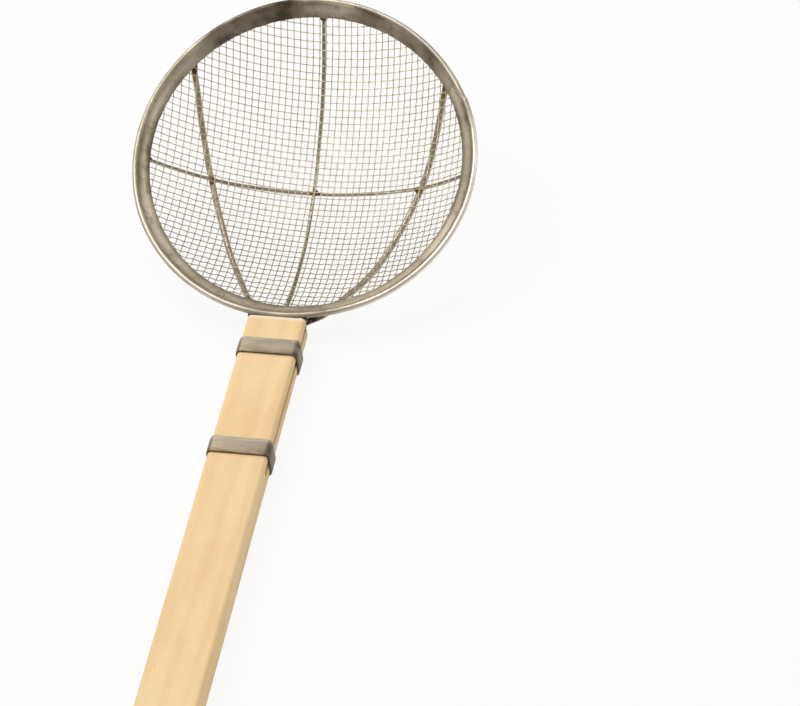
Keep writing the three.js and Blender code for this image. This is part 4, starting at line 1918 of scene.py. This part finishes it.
    def build(self) -> None:
        """Weaves the cloth and ties it to the frame."""
        form = self.form
        sizes = {"Pitch": self.pitch, "Wire Radius": self.wire_radius, "Lift": self.lift,
                 "Waver": self.waver, "Stain": self.near_darkening, "Dish Radius": form.mesh_radius,
                 "Cut Radius": form.mesh_radius + self.tuck, "Sphere Radius": form.sphere_radius,
                 "Sphere Height": form.sphere_height,
                 "Band Slope": form.up_band.y / form.up_band.x, "Wires": self.wires, "Points": self.points,
                 "Sides": self.sides}
        source = bpy.data.meshes.new("cloth_source")
        piece = self.tree().bake("woven_cloth", source, self.finishes.cloth, sizes)
        piece.data.transform(form.matrix())
        fit(piece, "mesh_steel", "mesh_bowl")


@dataclass
class Welds:
    """The small beads of metal where wires are welded.

    Attributes:
        size: Radius of a bead.
        rib_factor: How much larger the beads on the ribs are.
        spread: Smallest and largest random factor on a bead's size.
        seed: Seed of their random sizes.
        flatness: A bead's height against its width.
        roughness: How uneven a bead is.
        lump_scale: How quickly it bulges, in bumps per metre.
    """

    finishes: Finishes
    size: float = 1.9 * MM
    rib_factor: float = 1.3
    spread: tuple[float, float] = (0.8, 1.2)
    seed: int = 7
    flatness: float = 0.85
    roughness: float = 0.9 * MM
    lump_scale: float = 700.0

    def tree(self) -> BuildGraph:
        """The tree that puts an uneven bead on each point.

        Returns:
            The tree.
        """
        graph = BuildGraph("weld_beads", ("Size", "Flatness", "Roughness"), ("Seed",))
        given = graph.given
        ball = graph.add("GeometryNodeMeshIcoSphere", {"Radius": 1.0, "Subdivisions": 3}).outputs[0]
        chance = graph.add("FunctionNodeRandomValue", data_type="FLOAT")
        least, most = self.spread
        for identifier, value in (("Min_001", least), ("Max_001", most), ("Seed", given["Seed"])):
            graph.feed(next(s for s in chance.inputs if s.identifier == identifier), value)
        drawn = next(s for s in chance.outputs if s.identifier == "Value_001")
        width = graph.math("MULTIPLY", graph.math("MULTIPLY", given["Size"], drawn), graph.kept("girth"))
        feeds = {"X": width, "Y": width, "Z": graph.math("MULTIPLY", width, given["Flatness"])}
        scale = graph.add("ShaderNodeCombineXYZ", feeds).outputs[0]
        feeds = {"Points": given["Geometry"], "Instance": ball, "Scale": scale}
        beads = graph.add("GeometryNodeInstanceOnPoints", feeds).outputs[0]
        real = graph.add("GeometryNodeRealizeInstances", {"Geometry": beads}).outputs[0]
        place = graph.add("GeometryNodeInputPosition").outputs[0]
        normal = graph.add("GeometryNodeInputNormal").outputs[0]
        bulge = graph.math("SUBTRACT", graph.noise(place, self.lump_scale), 0.5)
        offset = graph.scaled(normal, graph.math("MULTIPLY", bulge, given["Roughness"]))
        graph.finish(graph.add("GeometryNodeSetPosition", {"Geometry": real, "Offset": offset}).outputs[0])
        return graph

    def build(self, on_ribs: Sequence[Vector], on_wires: Sequence[Vector]) -> None:
        """Builds the beads and ties them to the frame.

        Args:
            on_ribs: Where the ribs are welded.
            on_wires: Where the thin wires are.
        """
        source = bpy.data.meshes.new("weld_points")
        source.from_pydata([*on_ribs, *on_wires], [], [])
        girths = [self.rib_factor] * len(on_ribs) + [1.0] * len(on_wires)
        keep(source, "girth", girths)
        sizes = {"Size": self.size, "Flatness": self.flatness, "Roughness": self.roughness,
                 "Seed": self.seed}
        piece = self.tree().bake("weld_beads", source, self.finishes.weld, sizes)
        fit(piece, "wire_steel")


@dataclass(frozen=True)
class Viewpoint:
    """The camera.

    Attributes:
        aim: The point on the floor in the middle of the picture, from the middle of the rim.
        distance: How far the camera is from it.
        azimuth: The direction that it looks in, from +Y towards +X.
        elevation: How far above the floor it stands, as an angle.
        roll: How far it is turned about its own line of sight.
        lens: Its focal length in millimetres.
        sensor: Its width of picture in millimetres.
    """

    aim: Vector = Vector((0.06975, -0.09814, -0.0522))
    distance: float = 1.6706
    azimuth: float = math.radians(-14.914)
    elevation: float = math.radians(46.318)
    roll: float = math.radians(-6.43)
    lens: float = 135.0
    sensor: float = 36.0

    def build(self, rim: Vector) -> None:
        """Makes the camera the scene's own.

        Args:
            rim: The middle of the rim.
        """
        flat = math.cos(self.elevation)
        look = Vector((flat * math.sin(self.azimuth), flat * math.cos(self.azimuth),
                       -math.sin(self.elevation)))
        level = look.cross(Vector((0.0, 0.0, 1.0))).normalized()
        upright = level.cross(look)
        right = level * math.cos(self.roll) + upright * math.sin(self.roll)
        up = right.cross(look)
        data = bpy.data.cameras.new("viewpoint")
        data.lens = self.lens
        data.sensor_width = self.sensor
        camera = bpy.data.objects.new("viewpoint", data)
        turn = Matrix((right, up, -look)).transposed().to_4x4()
        camera.matrix_world = Matrix.Translation(rim + self.aim - look * self.distance) @ turn
        bpy.context.scene.collection.objects.link(camera)
        bpy.context.scene.camera = camera


@dataclass(frozen=True)
class SoftLamp:
    """A square soft lamp that looks at the strainer.

    Attributes:
        name: Its name.
        place: Where it hangs.
        width: Its width.
        power: Its power in watts.
    """

    name: str
    place: tuple[float, float, float]
    width: float
    power: float

    def build(self, aim: Vector) -> None:
        """Hangs the lamp.

        Args:
            aim: The point that it is turned towards.
        """
        data = bpy.data.lights.new(self.name, "AREA")
        data.shape = "SQUARE"
        data.size = self.width
        data.energy = self.power
        lamp = bpy.data.objects.new(self.name, data)
        lamp.location = self.place
        lamp.rotation_euler = (aim - lamp.location).to_track_quat("-Z", "Y").to_euler()
        bpy.context.scene.collection.objects.link(lamp)


@dataclass
class Stage:
    """The pale floor, the soft lamps and the grey surroundings.

    Attributes:
        floor_radius: How far the floor reaches.
        floor_sides: Sides of its outline.
        floor_colour: Its colour.
        floor_white: How much of its look is plain white, where it is seen or mirrored.
        room_colour: Colour of the surroundings.
        overhead: Brightness of the surroundings above.
        horizon: Brightness of the surroundings at the horizon.
        dome: From which height to which it changes, as a direction's Z.
        front: A factor on the brightness on the handle's side.
        front_span: Where that sets in, as a direction's Y.
        right: A factor on the brightness on the right.
        right_span: Where that sets in, as a direction's X.
        lamps: The soft lamps.
    """

    floor_radius: float = 30.0
    floor_sides: int = 64
    floor_colour: Colour = (0.9, 0.9, 0.9, 1.0)
    floor_white: float = 0.9
    room_colour: Colour = (1.0, 0.985, 0.96, 1.0)
    overhead: float = 0.85
    horizon: float = 0.52
    dome: tuple[float, float] = (0.0, 0.75)
    front: float = 0.6
    front_span: tuple[float, float] = (-0.9, 0.1)
    right: float = 0.65
    right_span: tuple[float, float] = (0.1, 0.9)
    lamps: Sequence[SoftLamp] = (
        SoftLamp("key_lamp", (-0.8, 0.6, 1.5), 0.9, 11.5),
        SoftLamp("side_lamp", (1.3, 0.7, 1.0), 0.6, 1.4),
    )

    def floor_material(self) -> bpy.types.Material:
        """The floor's material: white where it is seen, plain where it lights the strainer.

        Returns:
            The material.
        """
        material, graph = blank_material("pale_floor")
        plain = graph.add("ShaderNodeBsdfDiffuse", {"Color": self.floor_colour}).outputs[0]
        white = graph.add("ShaderNodeEmission", {"Color": WHITE}).outputs[0]
        pale = graph.add("ShaderNodeMixShader", {0: self.floor_white, 1: plain, 2: white}).outputs[0]
        path = graph.add("ShaderNodeLightPath").outputs
        seen = graph.math("MAXIMUM", path["Is Camera Ray"], path["Is Glossy Ray"])
        seen = graph.math("MAXIMUM", seen, path["Is Transmission Ray"])
        mixed = graph.add("ShaderNodeMixShader", {0: seen, 1: plain, 2: pale}).outputs[0]
        graph.add("ShaderNodeOutputMaterial", {"Surface": mixed})
        return material

    def build(self) -> None:
        """Builds the floor, the lamps and the surroundings."""
        shape = bmesh.new()
        bmesh.ops.create_circle(shape, cap_ends=True, radius=self.floor_radius,
                                segments=self.floor_sides)
        add_piece(to_mesh("floor", shape), self.floor_material(), math.pi)
        low, high = CAD_BOX
        for lamp in self.lamps:
            lamp.build((Vector(low) + Vector(high)) / 2.0)
        world = bpy.data.worlds.new("studio")
        world.use_nodes = True
        world.node_tree.nodes.clear()
        graph = NodeGraph(world.node_tree)
        direction = graph.add("ShaderNodeTexCoord").outputs["Generated"]
        split = graph.add("ShaderNodeSeparateXYZ", {0: direction}).outputs
        level = graph.ramp(split["Z"], *self.dome, self.horizon, self.overhead)
        for axis, span, start, end in (("Y", self.front_span, self.front, 1.0),
                                       ("X", self.right_span, 1.0, self.right)):
            level = graph.math("MULTIPLY", level, graph.ramp(split[axis], *span, start, end))
        feeds = {"Color": self.room_colour, "Strength": level}
        room = graph.add("ShaderNodeBackground", feeds).outputs[0]
        white = graph.add("ShaderNodeBackground", {"Color": WHITE}).outputs[0]
        seen = graph.add("ShaderNodeLightPath").outputs["Is Camera Ray"]
        mixed = graph.add("ShaderNodeMixShader", {0: seen, 1: room, 2: white}).outputs[0]
        graph.add("ShaderNodeOutputWorld", {"Surface": mixed})
        bpy.context.scene.world = world


def main() -> None:
    """Builds the strainer's pieces in order, then the stage and the camera."""
    logging.basicConfig(level=logging.INFO, format="%(name)s: %(message)s")
    bpy.context.scene.view_settings.view_transform = "Standard"
    finishes, form, sweep = Finishes(), BowlForm(), WireSweep()
    Handle(finishes).build()
    Straps(finishes).build()
    wires = BraceWires(finishes, form, sweep)
    rib_ends, under_roll, rib_crossings = Tang(finishes, form, sweep).build(wires.cross())
    wire_ends, crossings = wires.build(rib_crossings)
    Rim(finishes, form, sweep).build(rib_ends + wire_ends)
    WireCloth(finishes, form).build()
    Welds(finishes).build(rib_ends + under_roll, wire_ends + crossings)
    Stage().build()
    Viewpoint().build(form.matrix().translation)


if __name__ == "__main__":
    main()
